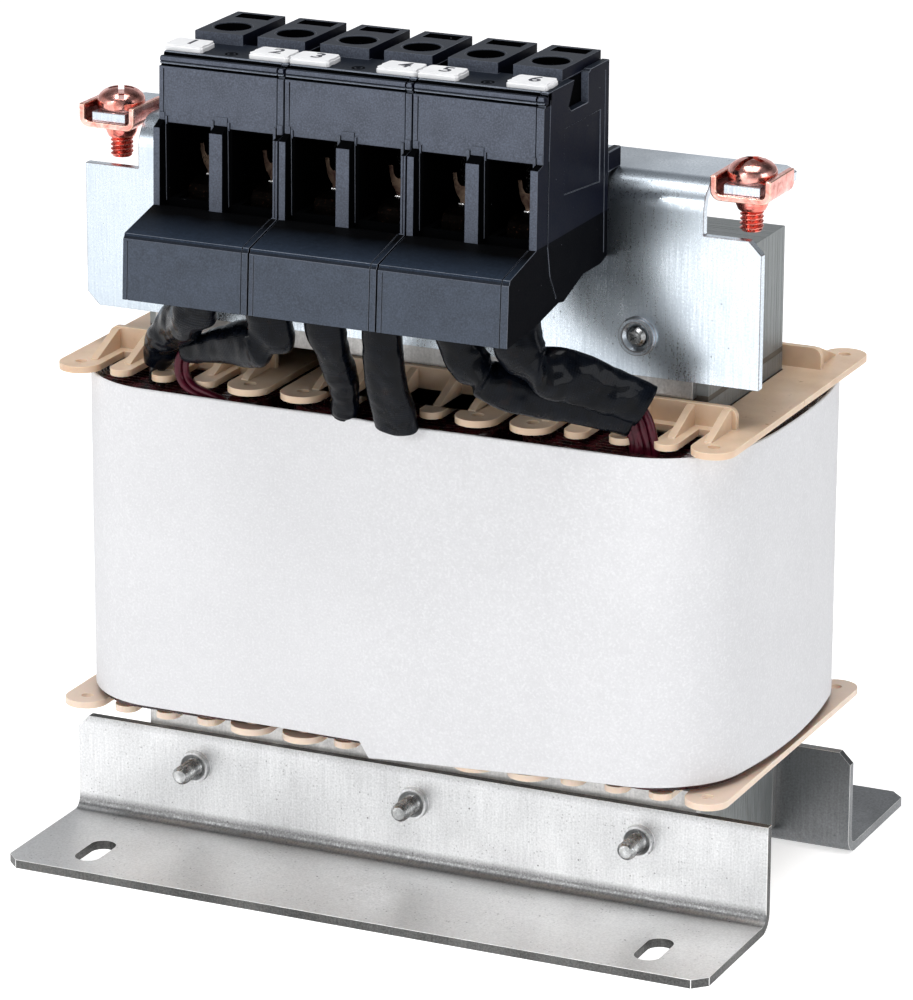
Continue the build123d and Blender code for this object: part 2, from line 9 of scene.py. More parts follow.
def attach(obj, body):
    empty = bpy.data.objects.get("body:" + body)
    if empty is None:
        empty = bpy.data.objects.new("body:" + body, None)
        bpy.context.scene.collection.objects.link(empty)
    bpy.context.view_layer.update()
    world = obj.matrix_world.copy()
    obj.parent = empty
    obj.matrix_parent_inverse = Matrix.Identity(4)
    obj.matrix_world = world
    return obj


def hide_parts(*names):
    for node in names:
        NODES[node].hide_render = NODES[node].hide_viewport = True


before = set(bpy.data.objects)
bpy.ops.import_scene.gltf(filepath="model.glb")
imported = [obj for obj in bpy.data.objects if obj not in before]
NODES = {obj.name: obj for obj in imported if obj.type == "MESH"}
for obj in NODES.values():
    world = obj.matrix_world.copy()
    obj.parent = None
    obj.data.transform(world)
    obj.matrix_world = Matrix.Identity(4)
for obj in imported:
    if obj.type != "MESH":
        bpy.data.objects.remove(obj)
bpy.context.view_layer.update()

# Lengths below are millimetres, counted like the part's own from the core's
# centre plane; P() turns them into metres of the shared frame.
OY = 9.55
MM = 0.001


def P(x, y, z):
    return (x * MM, (y + OY) * MM, z * MM)


# ---------------------------------------------------------------- small tools
def make(name, verts, faces, mats=(), smooth=True, sharp=None, uvs=None, index=None, tone=None, mm=True):
    me = bpy.data.meshes.new(name)
    me.from_pydata([P(*v) for v in verts] if mm else [tuple(v) for v in verts], [], [tuple(f) for f in faces])
    for m in mats:
        me.materials.append(m)
    if index is not None:
        me.polygons.foreach_set("material_index", index)
    me.polygons.foreach_set("use_smooth", [smooth] * len(me.polygons))
    if uvs is not None:
        layer = me.uv_layers.new(name="UVMap")
        flat = []
        for f in uvs:
            for u in f:
                flat.extend(u)
        layer.data.foreach_set("uv", flat)
    if tone is not None:
        a = me.attributes.new("tone", "FLOAT_COLOR", "POINT")
        col = np.ones((len(verts), 4), np.float32)
        col[:, :3] = np.asarray(tone, np.float32)[:, None]
        a.data.foreach_set("color", col.ravel())
    me.update()
    if sharp is not None:
        me.set_sharp_from_angle(angle=math.radians(sharp))
    o = bpy.data.objects.new(name, me)
    bpy.context.scene.collection.objects.link(o)
    return o


def outward(o):
    bm = bmesh.new()
    bm.from_mesh(o.data)
    bmesh.ops.recalc_face_normals(bm, faces=bm.faces)
    bm.to_mesh(o.data)
    bm.free()
    return o


def baked(o):
    """The object's modifiers applied to its mesh."""
    bpy.context.view_layer.update()
    dg = bpy.context.evaluated_depsgraph_get()
    me = bpy.data.meshes.new_from_object(o.evaluated_get(dg), preserve_all_data_layers=True, depsgraph=dg)
    old = o.data
    o.modifiers.clear()
    o.data = me
    bpy.data.meshes.remove(old)
    return o


def bevelled(o, width, seg=2, angle=32, edge_slot=1, bake=True):
    m = o.modifiers.new("edge", "BEVEL")
    m.width = width * MM
    m.segments = seg
    m.limit_method = "ANGLE"
    m.angle_limit = math.radians(angle)
    m.harden_normals = True
    m.use_clamp_overlap = True
    m.miter_outer = "MITER_ARC"
    if edge_slot is not None and len(o.data.materials) > edge_slot:
        m.material = edge_slot
    o.data.polygons.foreach_set("use_smooth", [True] * len(o.data.polygons))
    return baked(o) if bake else o


def soft_copy(node, name, mats, width=0.3, seg=2, angle=32, bake=True):
    """A new piece on the node's outline, with rounded edges that take the second material: a lighter copy as painted
    highlight on the feet and formers, a darker one on the plate's cut edges.
    """
    me = NODES[node].data.copy()
    me.name = name
    me.materials.clear()
    for m in mats:
        me.materials.append(m)
    bm = bmesh.new()
    bm.from_mesh(me)
    bmesh.ops.remove_doubles(bm, verts=bm.verts, dist=3e-6)
    bmesh.ops.dissolve_limit(bm, angle_limit=math.radians(0.6), verts=bm.verts, edges=bm.edges)
    for f in bm.faces:
        f.material_index = 0
        f.smooth = True
    bm.to_mesh(me)
    bm.free()
    for a in list(me.attributes):
        if a.name in ("custom_normal", "sharp_edge", "sharp_face"):
            me.attributes.remove(a)
    for u in list(me.uv_layers):
        me.uv_layers.remove(u)
    o = bpy.data.objects.new(name, me)
    bpy.context.scene.collection.objects.link(o)
    o.data.set_sharp_from_angle(angle=math.radians(angle))
    if width:
        bevelled(o, width, seg, angle, bake=bake)
    return o


def cut(o, cutter):
    """Takes the cutter away from the object."""
    m = o.modifiers.new("cut", "BOOLEAN")
    m.operation = "DIFFERENCE"
    m.solver = "EXACT"
    m.object = cutter
    baked(o)
    bpy.data.objects.remove(cutter)
    return o


def joined(objs, name):
    """Several mesh objects as one."""
    bm = bmesh.new()
    mats = []
    for o in objs:
        remap = []
        for m in o.data.materials:
            if m not in mats:
                mats.append(m)
            remap.append(mats.index(m))
        me = o.data.copy()
        if remap:
            idx = [remap[min(p.material_index, len(remap) - 1)] for p in me.polygons]
            me.polygons.foreach_set("material_index", idx)
        bm.from_mesh(me)
        bpy.data.meshes.remove(me)
    me = bpy.data.meshes.new(name)
    bm.to_mesh(me)
    bm.free()
    for m in mats:
        me.materials.append(m)
    out = bpy.data.objects.new(name, me)
    bpy.context.scene.collection.objects.link(out)
    for o in objs:
        bpy.data.objects.remove(o)
    return out


def piece(o, slot, *nodes):
    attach(o, "root")
    if nodes:
        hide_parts(*nodes)
    return o


def grid_faces(rows, cols, closed=True, start=0):
    """Quads over rows x cols points; the columns close on themselves."""
    f = []
    for i in range(rows - 1):
        for j in range(cols if closed else cols - 1):
            k = (j + 1) % cols
            f.append((start + i * cols + j, start + i * cols + k, start + (i + 1) * cols + k, start + (i + 1) * cols + j))
    return f


def prism(name, pts, x0, x1, mats=(), plane="yz"):
    """A prism along X (outline in y, z) or along Z (outline in x, y) or along Y
    (outline in x, z)."""
    n = len(pts)
    put = {"yz": lambda a, b, t: (t, a, b), "xy": lambda a, b, t: (a, b, t), "xz": lambda a, b, t: (a, t, b)}[plane]
    v = [put(a, b, x0) for a, b in pts] + [put(a, b, x1) for a, b in pts]
    f = [tuple(range(n)), tuple(reversed(range(n, 2 * n)))] + [(i, n + i, n + (i + 1) % n, (i + 1) % n) for i in range(n)]
    return outward(make(name, v, f, mats, smooth=False))


def block(name, x0, x1, y0, y1, z0, z1, mats=()):
    return prism(name, [(y0, z0), (y1, z0), (y1, z1), (y0, z1)], x0, x1, mats)


def lathe(name, profile, centre, axis, n=48, mats=(), sharp=35):
    """profile: (radius, height) pairs, from the low end up; axis: "z", "-y", "y"."""
    v, f = [], []
    for r, h in profile:
        for j in range(n):
            a = 2 * math.pi * j / n
            v.append((r * math.cos(a), r * math.sin(a), h))
    f = grid_faces(len(profile), n)
    f.append(tuple(reversed(range(n))))
    f.append(tuple(range((len(profile) - 1) * n, len(profile) * n)))
    return outward(make(name, [turned(p, centre, axis) for p in v], f, mats, sharp=sharp))


def turned(p, c, axis):
    x, y, z = p
    if axis == "z":
        return (c[0] + x, c[1] + y, c[2] + z)
    if axis == "-z":
        return (c[0] + x, c[1] - y, c[2] - z)
    if axis == "-y":
        return (c[0] + x, c[1] - z, c[2] + y)
    return (c[0] + x, c[1] + z, c[2] - y)


def threaded(name, r, pitch, length, centre, axis, mats, n=40, tip=0.8, plain=0.0):
    """A rod with a helical thread, its tip chamfered; it starts plain."""
    step = pitch / 8
    rows = int(length / step) + 1
    v = []
    for i in range(rows + 1):
        h = min(i * step, length)
        for j in range(n):
            a = 2 * math.pi * j / n
            ph = (h / pitch - j / n) % 1.0
            d = 0.58 * pitch * min(1.0, max(0.0, 1 - abs(ph * 2 - 1) * 1.25))
            if h < plain:
                d = 0.0
            q = r - d
            lim = r - tip + (length - h) * 1.0
            q = min(q, max(lim, r - tip - 0.2))
            v.append((q * math.cos(a), q * math.sin(a), h))
    rows += 1
    f = grid_faces(rows, n)
    base = (rows - 1) * n
    # slightly dished end
    for rr, hh in ((0.62, -0.05), (0.25, -0.18)):
        for j in range(n):
            a = 2 * math.pi * j / n
            v.append(((r - tip) * rr * math.cos(a), (r - tip) * rr * math.sin(a), length + hh))
    f += grid_faces(3, n, start=base)
    f.append(tuple(range(base + 2 * n, base + 3 * n)))
    f.append(tuple(reversed(range(n))))
    return outward(make(name, [turned(p, centre, axis) for p in v], f, mats, sharp=50))


def hexhead(name, af, h, centre, axis, mats, n=96):
    """A hexagon head with a chamfered crown and a shallow dish."""
    def ra(a):
        k = (a + math.pi / 6) % (math.pi / 3) - math.pi / 6
        return af / 2 / math.cos(k)
    rows = [(0.0, 99), (h * 0.62, 99), (h * 0.72, af / 2 * 1.13), (h * 0.84, af / 2 * 1.07), (h * 0.95, af / 2 * 0.98), (h, af / 2 * 0.9), (h * 0.97, af / 2 * 0.75), (h * 0.93, af / 2 * 0.4)]
    v = []
    for z, lim in rows:
        for j in range(n):
            a = 2 * math.pi * j / n
            q = min(ra(a), lim)
            v.append((q * math.cos(a), q * math.sin(a), z))
    f = grid_faces(len(rows), n)
    f.append(tuple(reversed(range(n))))
    f.append(tuple(range((len(rows) - 1) * n, len(rows) * n)))
    return outward(make(name, [turned(p, centre, axis) for p in v], f, mats, sharp=28))


def bspline(ctrl, n, deg=3):
    """n + 1 points on the clamped B-spline of the control rows."""
    ctrl = np.array(ctrl, float)
    m = len(ctrl)
    deg = min(deg, m - 1)
    knots = np.concatenate([np.zeros(deg), np.linspace(0, 1, m - deg + 1), np.ones(deg)])
    out = []
    for t in np.linspace(0, 1, n + 1):
        k = int(min(max(np.searchsorted(knots, t, side="right") - 1, deg), m - 1))
        d = [ctrl[j + k - deg].copy() for j in range(deg + 1)]
        for r in range(1, deg + 1):
            for j in range(deg, r - 1, -1):
                lo, hi = knots[j + k - deg], knots[j + 1 + k - r]
                a = (t - lo) / (hi - lo)
                d[j] = (1 - a) * d[j - 1] + a * d[j]
        out.append(d[deg])
    return np.array(out)


def nz(x, y, z, s, seed=0.0):
    """Smooth noise of about -1..1, features s millimetres across."""
    return noise.noise(Vector((x / s + seed * 7.13, y / s - seed * 3.7, z / s + seed * 1.9)))


# ------------------------------------------------------------------ materials
class Mat:
    def __init__(s, name):
        s.m = bpy.data.materials.new(name)
        s.m.use_nodes = True
        s.nt = s.m.node_tree
        s.nt.nodes.clear()
        s.out = s.n("ShaderNodeOutputMaterial")
        s.b = s.n("ShaderNodeBsdfPrincipled")
        s.link(s.b.outputs[0], s.out.inputs[0])
        s.tc = s.n("ShaderNodeTexCoord")

    def n(s, kind, **k):
        node = s.nt.nodes.new(kind)
        for a, v in k.items():
            setattr(node, a, v)
        return node

    def link(s, a, b):
        s.nt.links.new(a, b)

    def put(s, socket, v):
        if isinstance(v, bpy.types.NodeSocket):
            s.link(v, socket)
        else:
            socket.default_value = v

    def co(s, stretch=(1, 1, 1), shift=(0, 0, 0), rot=(0, 0, 0)):
        """Object coordinates in millimetres, divided by stretch."""
        m = s.n("ShaderNodeMapping")
        m.vector_type = "POINT"
        m.inputs["Scale"].default_value = [1000.0 / a for a in stretch]
        m.inputs["Location"].default_value = shift
        m.inputs["Rotation"].default_value = rot
        s.link(s.tc.outputs["Object"], m.inputs["Vector"])
        return m.outputs[0]

    def noise(s, size, detail=4.0, rough=0.5, dist=0.0, stretch=(1, 1, 1), shift=(0, 0, 0), co=None):
        t = s.n("ShaderNodeTexNoise")
        t.inputs["Scale"].default_value = 1.0 / size
        t.inputs["Detail"].default_value = detail
        t.inputs["Roughness"].default_value = rough
        t.inputs["Distortion"].default_value = dist
        s.link(co if co is not None else s.co(stretch, shift), t.inputs["Vector"])
        return t.outputs["Fac"]

    def voronoi(s, size, stretch=(1, 1, 1), feature="F1", out="Distance", shift=(0, 0, 0)):
        t = s.n("ShaderNodeTexVoronoi")
        t.feature = feature
        t.inputs["Scale"].default_value = 1.0 / size
        s.link(s.co(stretch, shift), t.inputs["Vector"])
        return t.outputs[out]

    def ramp(s, fac, stops, interp="LINEAR"):
        r = s.n("ShaderNodeValToRGB")
        r.color_ramp.interpolation = interp
        el = r.color_ramp.elements
        while len(el) < len(stops):
            el.new(0.5)
        for e, (p, c) in zip(el, stops):
            e.position = p
            e.color = (c, c, c, 1) if isinstance(c, (int, float)) else (*c, 1)
        s.link(fac, r.inputs[0])
        return r.outputs[0]

    def mix(s, fac, a, b, blend="MIX"):
        m = s.n("ShaderNodeMix")
        m.data_type = "RGBA"
        m.blend_type = blend
        m.clamp_factor = True
        s.put(m.inputs[0], fac)
        s.put(m.inputs[6], a if isinstance(a, bpy.types.NodeSocket) else (*a, 1))
        s.put(m.inputs[7], b if isinstance(b, bpy.types.NodeSocket) else (*b, 1))
        return m.outputs[2]

    def math(s, op, a, b=0.0, c=None, clamp=False):
        m = s.n("ShaderNodeMath")
        m.operation = op
        m.use_clamp = clamp
        s.put(m.inputs[0], a)
        s.put(m.inputs[1], b)
        if c is not None:
            s.put(m.inputs[2], c)
        return m.outputs[0]

    def range(s, v, a0, a1, b0, b1):
        m = s.n("ShaderNodeMapRange")
        m.inputs["From Min"].default_value = a0
        m.inputs["From Max"].default_value = a1
        m.inputs["To Min"].default_value = b0
        m.inputs["To Max"].default_value = b1
        s.link(v, m.inputs["Value"])
        return m.outputs[0]

    def xyz(s):
        sep = s.n("ShaderNodeSeparateXYZ")
        s.link(s.co(), sep.inputs[0])
        return sep.outputs

    def tone(s):
        a = s.n("ShaderNodeAttribute")
        a.attribute_name = "tone"
        return a.outputs["Fac"]

    def bump(s, h, strength, dist, normal=None):
        b = s.n("ShaderNodeBump")
        b.inputs["Strength"].default_value = strength
        b.inputs["Distance"].default_value = dist * MM
        s.link(h, b.inputs["Height"])
        if normal is not None:
            s.link(normal, b.inputs["Normal"])
        return b.outputs[0]

    def set(s, **k):
        names = {"color": "Base Color", "rough": "Roughness", "metal": "Metallic", "normal": "Normal", "coat": "Coat Weight",
                 "coat_rough": "Coat Roughness", "ior": "IOR", "spec": "Specular IOR Level", "sss": "Subsurface Weight",
                 "sss_scale": "Subsurface Scale", "sss_radius": "Subsurface Radius", "aniso": "Anisotropic", "sheen": "Sheen Weight",
                 "sheen_rough": "Sheen Roughness", "trans": "Transmission Weight", "emit": "Emission Strength", "emit_color": "Emission Color"}
        for a, v in k.items():
            sock = s.b.inputs[names[a]]
            if isinstance(v, bpy.types.NodeSocket):
                s.link(v, sock)
            elif isinstance(v, tuple) and len(v) == 3 and sock.type == "RGBA":
                sock.default_value = (*v, 1)
            else:
                sock.default_value = v
        return s


def galvanised(name, light, dark, edge=False, streak=0.5, base_rough=0.34, speck=0.6, painted_shade=False, metal=1.0, bend=False):
    m = Mat(name)
    grain = m.noise(0.55, 3, 0.6)                                   # salt-and-pepper grain of the zinc
    vert = m.noise(1.0, 5, 0.65, stretch=(0.55, 0.55, 14.0))        # drawn streaks down the sheet
    cloud = m.noise(26.0, 4, 0.55, 0.4)
    tone = m.math("ADD", m.math("MULTIPLY", grain, 0.55), m.math("MULTIPLY", vert, streak))
    tone = m.math("ADD", tone, m.math("MULTIPLY", cloud, 0.45))
    lo, hi = 0.36 + streak * 0.34, 0.68 + streak * 0.62
    col = m.mix(m.range(tone, lo, hi, 0.0, 1.0), dark, light)
    spots = m.range(m.voronoi(2.6), 0.05, 0.13, 1.0, 0.0)
    keep = m.range(m.noise(5.0, 2, 0.5, shift=(31, 7, 3)), 0.52, 0.6, 0.0, 1.0)
    spots = m.math("MULTIPLY", spots, keep, clamp=True)
    col = m.mix(m.math("MULTIPLY", spots, speck), col, tuple(c * 0.35 for c in dark))
    # painted highlight: edge faces lightened toward white
    if edge:
        col = m.mix(0.55, col, (0.97, 0.97, 0.96))
    if bend:
        # painted shade along the bend, on the foot beside it and at the upper edge, peppered with pin holes
        x, y, z = m.xyz()
        wall = m.math("MAXIMUM", m.range(z, 4.6, 6.8, 1.0, 0.0), m.range(z, 26.8, 28.9, 0.0, 0.45))
        foot = m.math("MULTIPLY", m.range(m.math("SUBTRACT", y, OY), -36.4, -33.8, 0.0, 0.55), m.range(z, 3.0, 5.0, 1.0, 0.0), clamp=True)
        low = m.range(z, 2.8, 3.6, 0.35, 1.0)
        d = m.math("MAXIMUM", m.math("MULTIPLY", wall, low, clamp=True), foot)
        d = m.math("MULTIPLY", d, m.range(grain, 0.3, 0.7, 1.15, 0.75), clamp=True)
        col = m.mix(m.math("MULTIPLY", d, 0.80), col, (0.07, 0.07, 0.07))
        pin = m.math("MULTIPLY", m.range(m.voronoi(1.15, shift=(5, 5, 5)), 0.10, 0.24, 1.0, 0.0), m.range(m.noise(7.0, 3, 0.6, shift=(3, 1, 9)), 0.46, 0.62, 0.0, 1.0), clamp=True)
        col = m.mix(m.math("MULTIPLY", pin, 0.5), col, (0.10, 0.10, 0.10))
    if painted_shade:
        # painted shadow and painted reflection of the terminal block: the sheet is dark beside it
        x, y, z = m.xyz()
        d = m.math("MULTIPLY", m.range(m.math("ADD", x, m.math("MULTIPLY", cloud, 8.0)), 58.0, 74.0, 1.0, 0.0), m.range(m.math("ADD", z, m.math("MULTIPLY", cloud, 8.0)), 192.0, 206.0, 1.0, 0.0), clamp=True)
        d = m.math("MULTIPLY", d, m.range(z, 152.0, 170.0, 0.0, 1.0), clamp=True)
        d = m.math("MULTIPLY", d, m.range(x, 40.0, 46.0, 0.0, 1.0), clamp=True)
        col = m.mix(m.math("MULTIPLY", d, 0.78), col, (0.018, 0.026, 0.038))
        # painted shade: the sheet's left end darker and bluer
        col = m.mix(m.range(x, -58.0, -46.0, 0.40, 0.0), col, (0.36, 0.41, 0.46))
    rough = m.math("ADD", m.range(tone, lo, hi, base_rough + 0.16, base_rough - 0.02), m.math("MULTIPLY", spots, 0.25))
    h = m.math("ADD", m.math("MULTIPLY", grain, 0.7), m.math("MULTIPLY", vert, 0.6))
    h = m.math("SUBTRACT", h, m.math("MULTIPLY", spots, 0.6))
    wave = m.noise(15.0, 2, 0.5, stretch=(1, 1, 2.2), shift=(5, 0, 9))
    nrm = m.bump(wave, 0.30, 0.20, m.bump(h, 0.22 if not edge else 0.15, 0.03))
    m.set(color=col, rough=rough, metal=metal, normal=nrm)
    return m.m


def zinc(name, base=(0.78, 0.79, 0.80), edge=False):
    m = Mat(name)
    g = m.noise(0.9, 4, 0.6)
    c = m.noise(4.0, 3, 0.5, shift=(3, 3, 3))
    col = m.mix(m.range(c, 0.40, 0.60, 0.0, 1.0), tuple(v * 0.45 for v in base), base)
    col = m.mix(m.range(g, 0.55, 0.75, 0.0, 0.5), col, (0.42, 0.41, 0.39))
    m.set(color=col, rough=m.range(g, 0.3, 0.7, 0.2, 0.36), metal=1.0, normal=m.bump(g, 0.25, 0.03))
    return m.m


def copper(name, light=(0.93, 0.53, 0.40), dark=(0.55, 0.22, 0.13), rough=0.3):
    m = Mat(name)
    g = m.noise(0.7, 4, 0.6)
    c = m.noise(3.2, 4, 0.6, 0.6, shift=(9, 1, 4))
    col = m.mix(m.range(c, 0.32, 0.66, 0.0, 1.0), dark, light)
    col = m.mix(m.range(g, 0.6, 0.78, 0.0, 0.45), col, (0.16, 0.07, 0.045))
    m.set(color=col, rough=m.math("ADD", m.range(g, 0.3, 0.7, rough - 0.08, rough + 0.1), m.range(c, 0.3, 0.7, 0.06, 0.0)), metal=1.0,
          normal=m.bump(m.math("ADD", g, m.math("MULTIPLY", c, 0.5)), 0.35, 0.04))
    return m.m


def plastic(name, base=(0.066, 0.074, 0.092), rough=0.42, edge=False, grain=0.55, spec=0.35, shade=None):
    m = Mat(name)
    fine = m.noise(grain, 2, 0.5)
    mid = m.noise(6.0, 4, 0.55, shift=(2, 9, 5))
    col = m.mix(m.range(mid, 0.3, 0.7, 0.0, 1.0), tuple(c * 0.84 for c in base), tuple(c * 1.14 for c in base))
    col = m.mix(m.range(fine, 0.48, 0.72, 0.0, 0.6), col, tuple(c * 1.7 for c in base))
    col = m.mix(m.range(fine, 0.30, 0.46, 0.5, 0.0), col, tuple(c * 0.55 for c in base))
    dust = m.range(m.voronoi(3.4, shift=(1, 5, 2)), 0.02, 0.06, 1.0, 0.0)
    dust = m.math("MULTIPLY", dust, m.range(m.noise(8, 2, 0.5, shift=(4, 4, 8)), 0.5, 0.62, 0.0, 1.0), clamp=True)
    col = m.mix(m.math("MULTIPLY", dust, 0.45), col, (0.30, 0.31, 0.33))
    # painted highlight: edge faces lighter and glossier
    if edge:
        col = m.mix(0.30, col, (0.20, 0.22, 0.26))
    if shade is not None:
        # painted shade: the shelf darkens towards the openings
        y = m.xyz()[1]
        far = m.math("ADD", m.math("SUBTRACT", y, OY), m.range(mid, 0.3, 0.7, -0.8, 0.8))
        col = m.mix(m.range(far, shade[0], shade[1], 0.0, 1.0), col, (0.0006, 0.0007, 0.0010))
    r = m.math("ADD", m.range(fine, 0.3, 0.7, rough - 0.05, rough + 0.07), m.range(mid, 0.3, 0.7, -0.03, 0.03))
    m.set(color=col, rough=m.math("SUBTRACT", r, 0.12) if edge else r, spec=spec, normal=m.bump(fine, 0.32 if not edge else 0.1, 0.045))
    return m.m


def nylon(name, edge=False):
    m = Mat(name)
    cloud = m.noise(9.0, 4, 0.55)
    fine = m.noise(0.8, 3, 0.5)
    x, y, z = m.xyz()
    col = m.mix(m.range(cloud, 0.3, 0.7, 0.0, 1.0), (0.60, 0.43, 0.295), (0.71, 0.535, 0.385))
    # painted light: the lower flange, below 60 mm, is lighter
    col = m.mix(m.range(z, 45.0, 60.0, 0.6, 0.0), col, (0.84, 0.69, 0.585))
    # brown varnish that has crept along the foot of the wall and ribs
    dy = m.math("ABSOLUTE", m.math("SUBTRACT", y, OY))
    near = m.math("MULTIPLY", m.range(dy, 29.5, 38.0, 1.0, 0.0), m.range(z, 133.2, 137.5, 1.0, 0.25))
    blot = m.noise(3.4, 5, 0.65, 0.8, shift=(7, 2, 5))
    stain = m.range(m.math("ADD", blot, m.math("MULTIPLY", near, 0.12)), 0.70, 0.86, 0.0, 1.0)
    line = m.range(m.noise(2.2, 3, 0.5, 2.5, stretch=(0.8, 6.0, 1.0), shift=(3, 3, 3)), 0.60, 0.66, 0.0, 1.0)
    stain = m.math("MAXIMUM", stain, m.math("MULTIPLY", line, 0.03))
    col = m.mix(m.math("MULTIPLY", stain, 0.4), col, (0.50, 0.31, 0.18))
    drip = m.range(m.noise(6.5, 3, 0.5, 0.6, shift=(1, 8, 6)), 0.82, 0.86, 0.0, 1.0)
    col = m.mix(m.math("MULTIPLY", drip, 0.5), col, (0.16, 0.09, 0.055))
    # painted highlight: edge faces lighter
    if edge:
        col = m.mix(0.28, col, (0.93, 0.80, 0.66))
    rough = m.math("SUBTRACT", m.range(fine, 0.3, 0.7, 0.34, 0.44), m.math("MULTIPLY", m.math("MAXIMUM", stain, drip), 0.2))
    h = m.math("ADD", m.math("MULTIPLY", fine, 0.3), m.math("ADD", m.math("MULTIPLY", stain, 0.15), m.math("MULTIPLY", drip, 0.5)))
    m.set(color=col, rough=rough, sss=0.32, sss_scale=0.0022, sss_radius=(1.0, 0.55, 0.28), spec=0.5, normal=m.bump(h, 0.35, 0.09))
    return m.m


def paper(name):
    m = Mat(name)
    fibre = m.noise(0.6, 4, 0.65, 0.3, stretch=(1.6, 1.6, 0.8))
    cloud = m.noise(34.0, 3, 0.5)
    pulp = m.noise(3.2, 5, 0.62, shift=(3, 4, 9))
    t = m.math("ADD", m.math("MULTIPLY", fibre, 0.3), m.math("ADD", m.math("MULTIPLY", pulp, 0.35), m.math("MULTIPLY", cloud, 0.35)))
    col = m.mix(m.range(t, 0.38, 0.62, 0.0, 1.0), (0.632, 0.63, 0.642), (0.684, 0.682, 0.694))
    salt = m.noise(0.62, 2, 0.5, shift=(8, 3, 1))
    col = m.mix(m.range(salt, 0.52, 0.72, 0.0, 0.5), col, (0.80, 0.80, 0.81))
    col = m.mix(m.range(salt, 0.30, 0.46, 0.4, 0.0), col, (0.60, 0.595, 0.60))
    sp = m.range(m.voronoi(7.0, shift=(2, 2, 2)), 0.012, 0.03, 1.0, 0.0)
    sp = m.math("MULTIPLY", sp, m.range(m.noise(20, 1, 0.5), 0.5, 0.6, 0.0, 1.0), clamp=True)
    col = m.mix(m.math("MULTIPLY", sp, 0.35), col, (0.45, 0.42, 0.38))
    h = m.math("ADD", m.math("MULTIPLY", fibre, 0.6), m.math("MULTIPLY", pulp, 0.5))
    soft = m.noise(22.0, 2, 0.5, shift=(6, 1, 2))
    m.set(color=col, rough=m.range(fibre, 0.3, 0.7, 0.60, 0.74), spec=0.35, sheen=0.08, sheen_rough=0.5,
          normal=m.bump(soft, 0.25, 0.35, m.bump(h, 0.22, 0.05)))
    return m.m


def varnished_sleeve(name, gloss=0.2):
    m = Mat(name)
    u = m.n("ShaderNodeSeparateXYZ")
    m.link(m.tc.outputs["UV"], u.inputs[0])
    a = m.math("SINE", m.math("ADD", m.math("MULTIPLY", u.outputs[0], 2 * math.pi * 34), m.math("MULTIPLY", u.outputs[1], 4.6)))
    b = m.math("SINE", m.math("SUBTRACT", m.math("MULTIPLY", u.outputs[0], 2 * math.pi * 34), m.math("MULTIPLY", u.outputs[1], 4.6)))
    weave = m.math("MULTIPLY", a, b)
    bare = m.tone()                                      # 1 where the braid shows, 0 where varnish floods it
    pool = m.noise(4.5, 4, 0.55, 0.5, shift=(4, 1, 7))
    crink = m.noise(1.7, 4, 0.6, 0.8, shift=(8, 5, 1))
    show = m.math("MULTIPLY", bare, m.range(pool, 0.42, 0.56, 0.35, 1.0))
    h = m.math("ADD", m.math("MULTIPLY", m.math("MULTIPLY", weave, show), 0.55), m.math("MULTIPLY", crink, 0.55))
    base = m.mix(m.range(pool, 0.35, 0.65, 0.0, 1.0), (0.0004, 0.0008, 0.0018), (0.0012, 0.0023, 0.0050))
    col = m.mix(m.math("MULTIPLY", m.range(weave, 0.15, 0.8, 0.0, 1.0), m.math("MULTIPLY", show, 0.45)), base, (0.022, 0.028, 0.042))
    brown = m.range(m.noise(5.0, 3, 0.5, shift=(9, 9, 2)), 0.62, 0.72, 0.0, 0.3)
    col = m.mix(brown, col, (0.016, 0.008, 0.006))
    m.set(color=col, rough=m.math("ADD", m.range(pool, 0.35, 0.65, gloss, gloss + 0.10), m.math("MULTIPLY", show, 0.16)), spec=0.05,
          coat=0.14, coat_rough=0.06, normal=m.bump(h, 0.75, 0.2))
    return m.m


def enamel(name, base=(0.075, 0.0025, 0.013)):
    m = Mat(name)
    c = m.noise(1.6, 4, 0.6, stretch=(1, 1, 1))
    col = m.mix(m.range(c, 0.35, 0.65, 0.0, 1.0), tuple(v * 0.45 for v in base), base)
    m.set(color=col, rough=m.range(c, 0.3, 0.7, 0.26, 0.38), metal=0.3, spec=0.2, coat=0.25, coat_rough=0.05, normal=m.bump(c, 0.2, 0.04))
    return m.m


def black_film(name):
    m = Mat(name)
    c = m.noise(2.0, 5, 0.6, 1.2)
    f = m.noise(0.7, 3, 0.6)
    col = m.mix(m.range(c, 0.4, 0.7, 0.0, 1.0), (0.0015, 0.0015, 0.002), (0.008, 0.006, 0.006))
    m.set(color=col, rough=m.range(f, 0.3, 0.7, 0.12, 0.26), spec=0.3, coat=0.9, coat_rough=0.08, normal=m.bump(m.math("ADD", c, m.math("MULTIPLY", f, 0.3)), 0.8, 0.4))
    return m.m


def wound(name):
    """Varnished turns of enamelled wire."""
    m = Mat(name)
    c = m.noise(3.0, 4, 0.6, 0.5)
    f = m.noise(0.8, 3, 0.6)
    col = m.mix(m.range(c, 0.4, 0.62, 0.0, 1.0), (0.004, 0.0022, 0.0026), (0.050, 0.007, 0.010))
    m.set(color=col, rough=m.range(f, 0.3, 0.7, 0.16, 0.36), spec=0.2, coat=0.35, coat_rough=0.08, normal=m.bump(m.math("ADD", c, m.math("MULTIPLY", f, 0.4)), 0.5, 0.2))
    return m.m


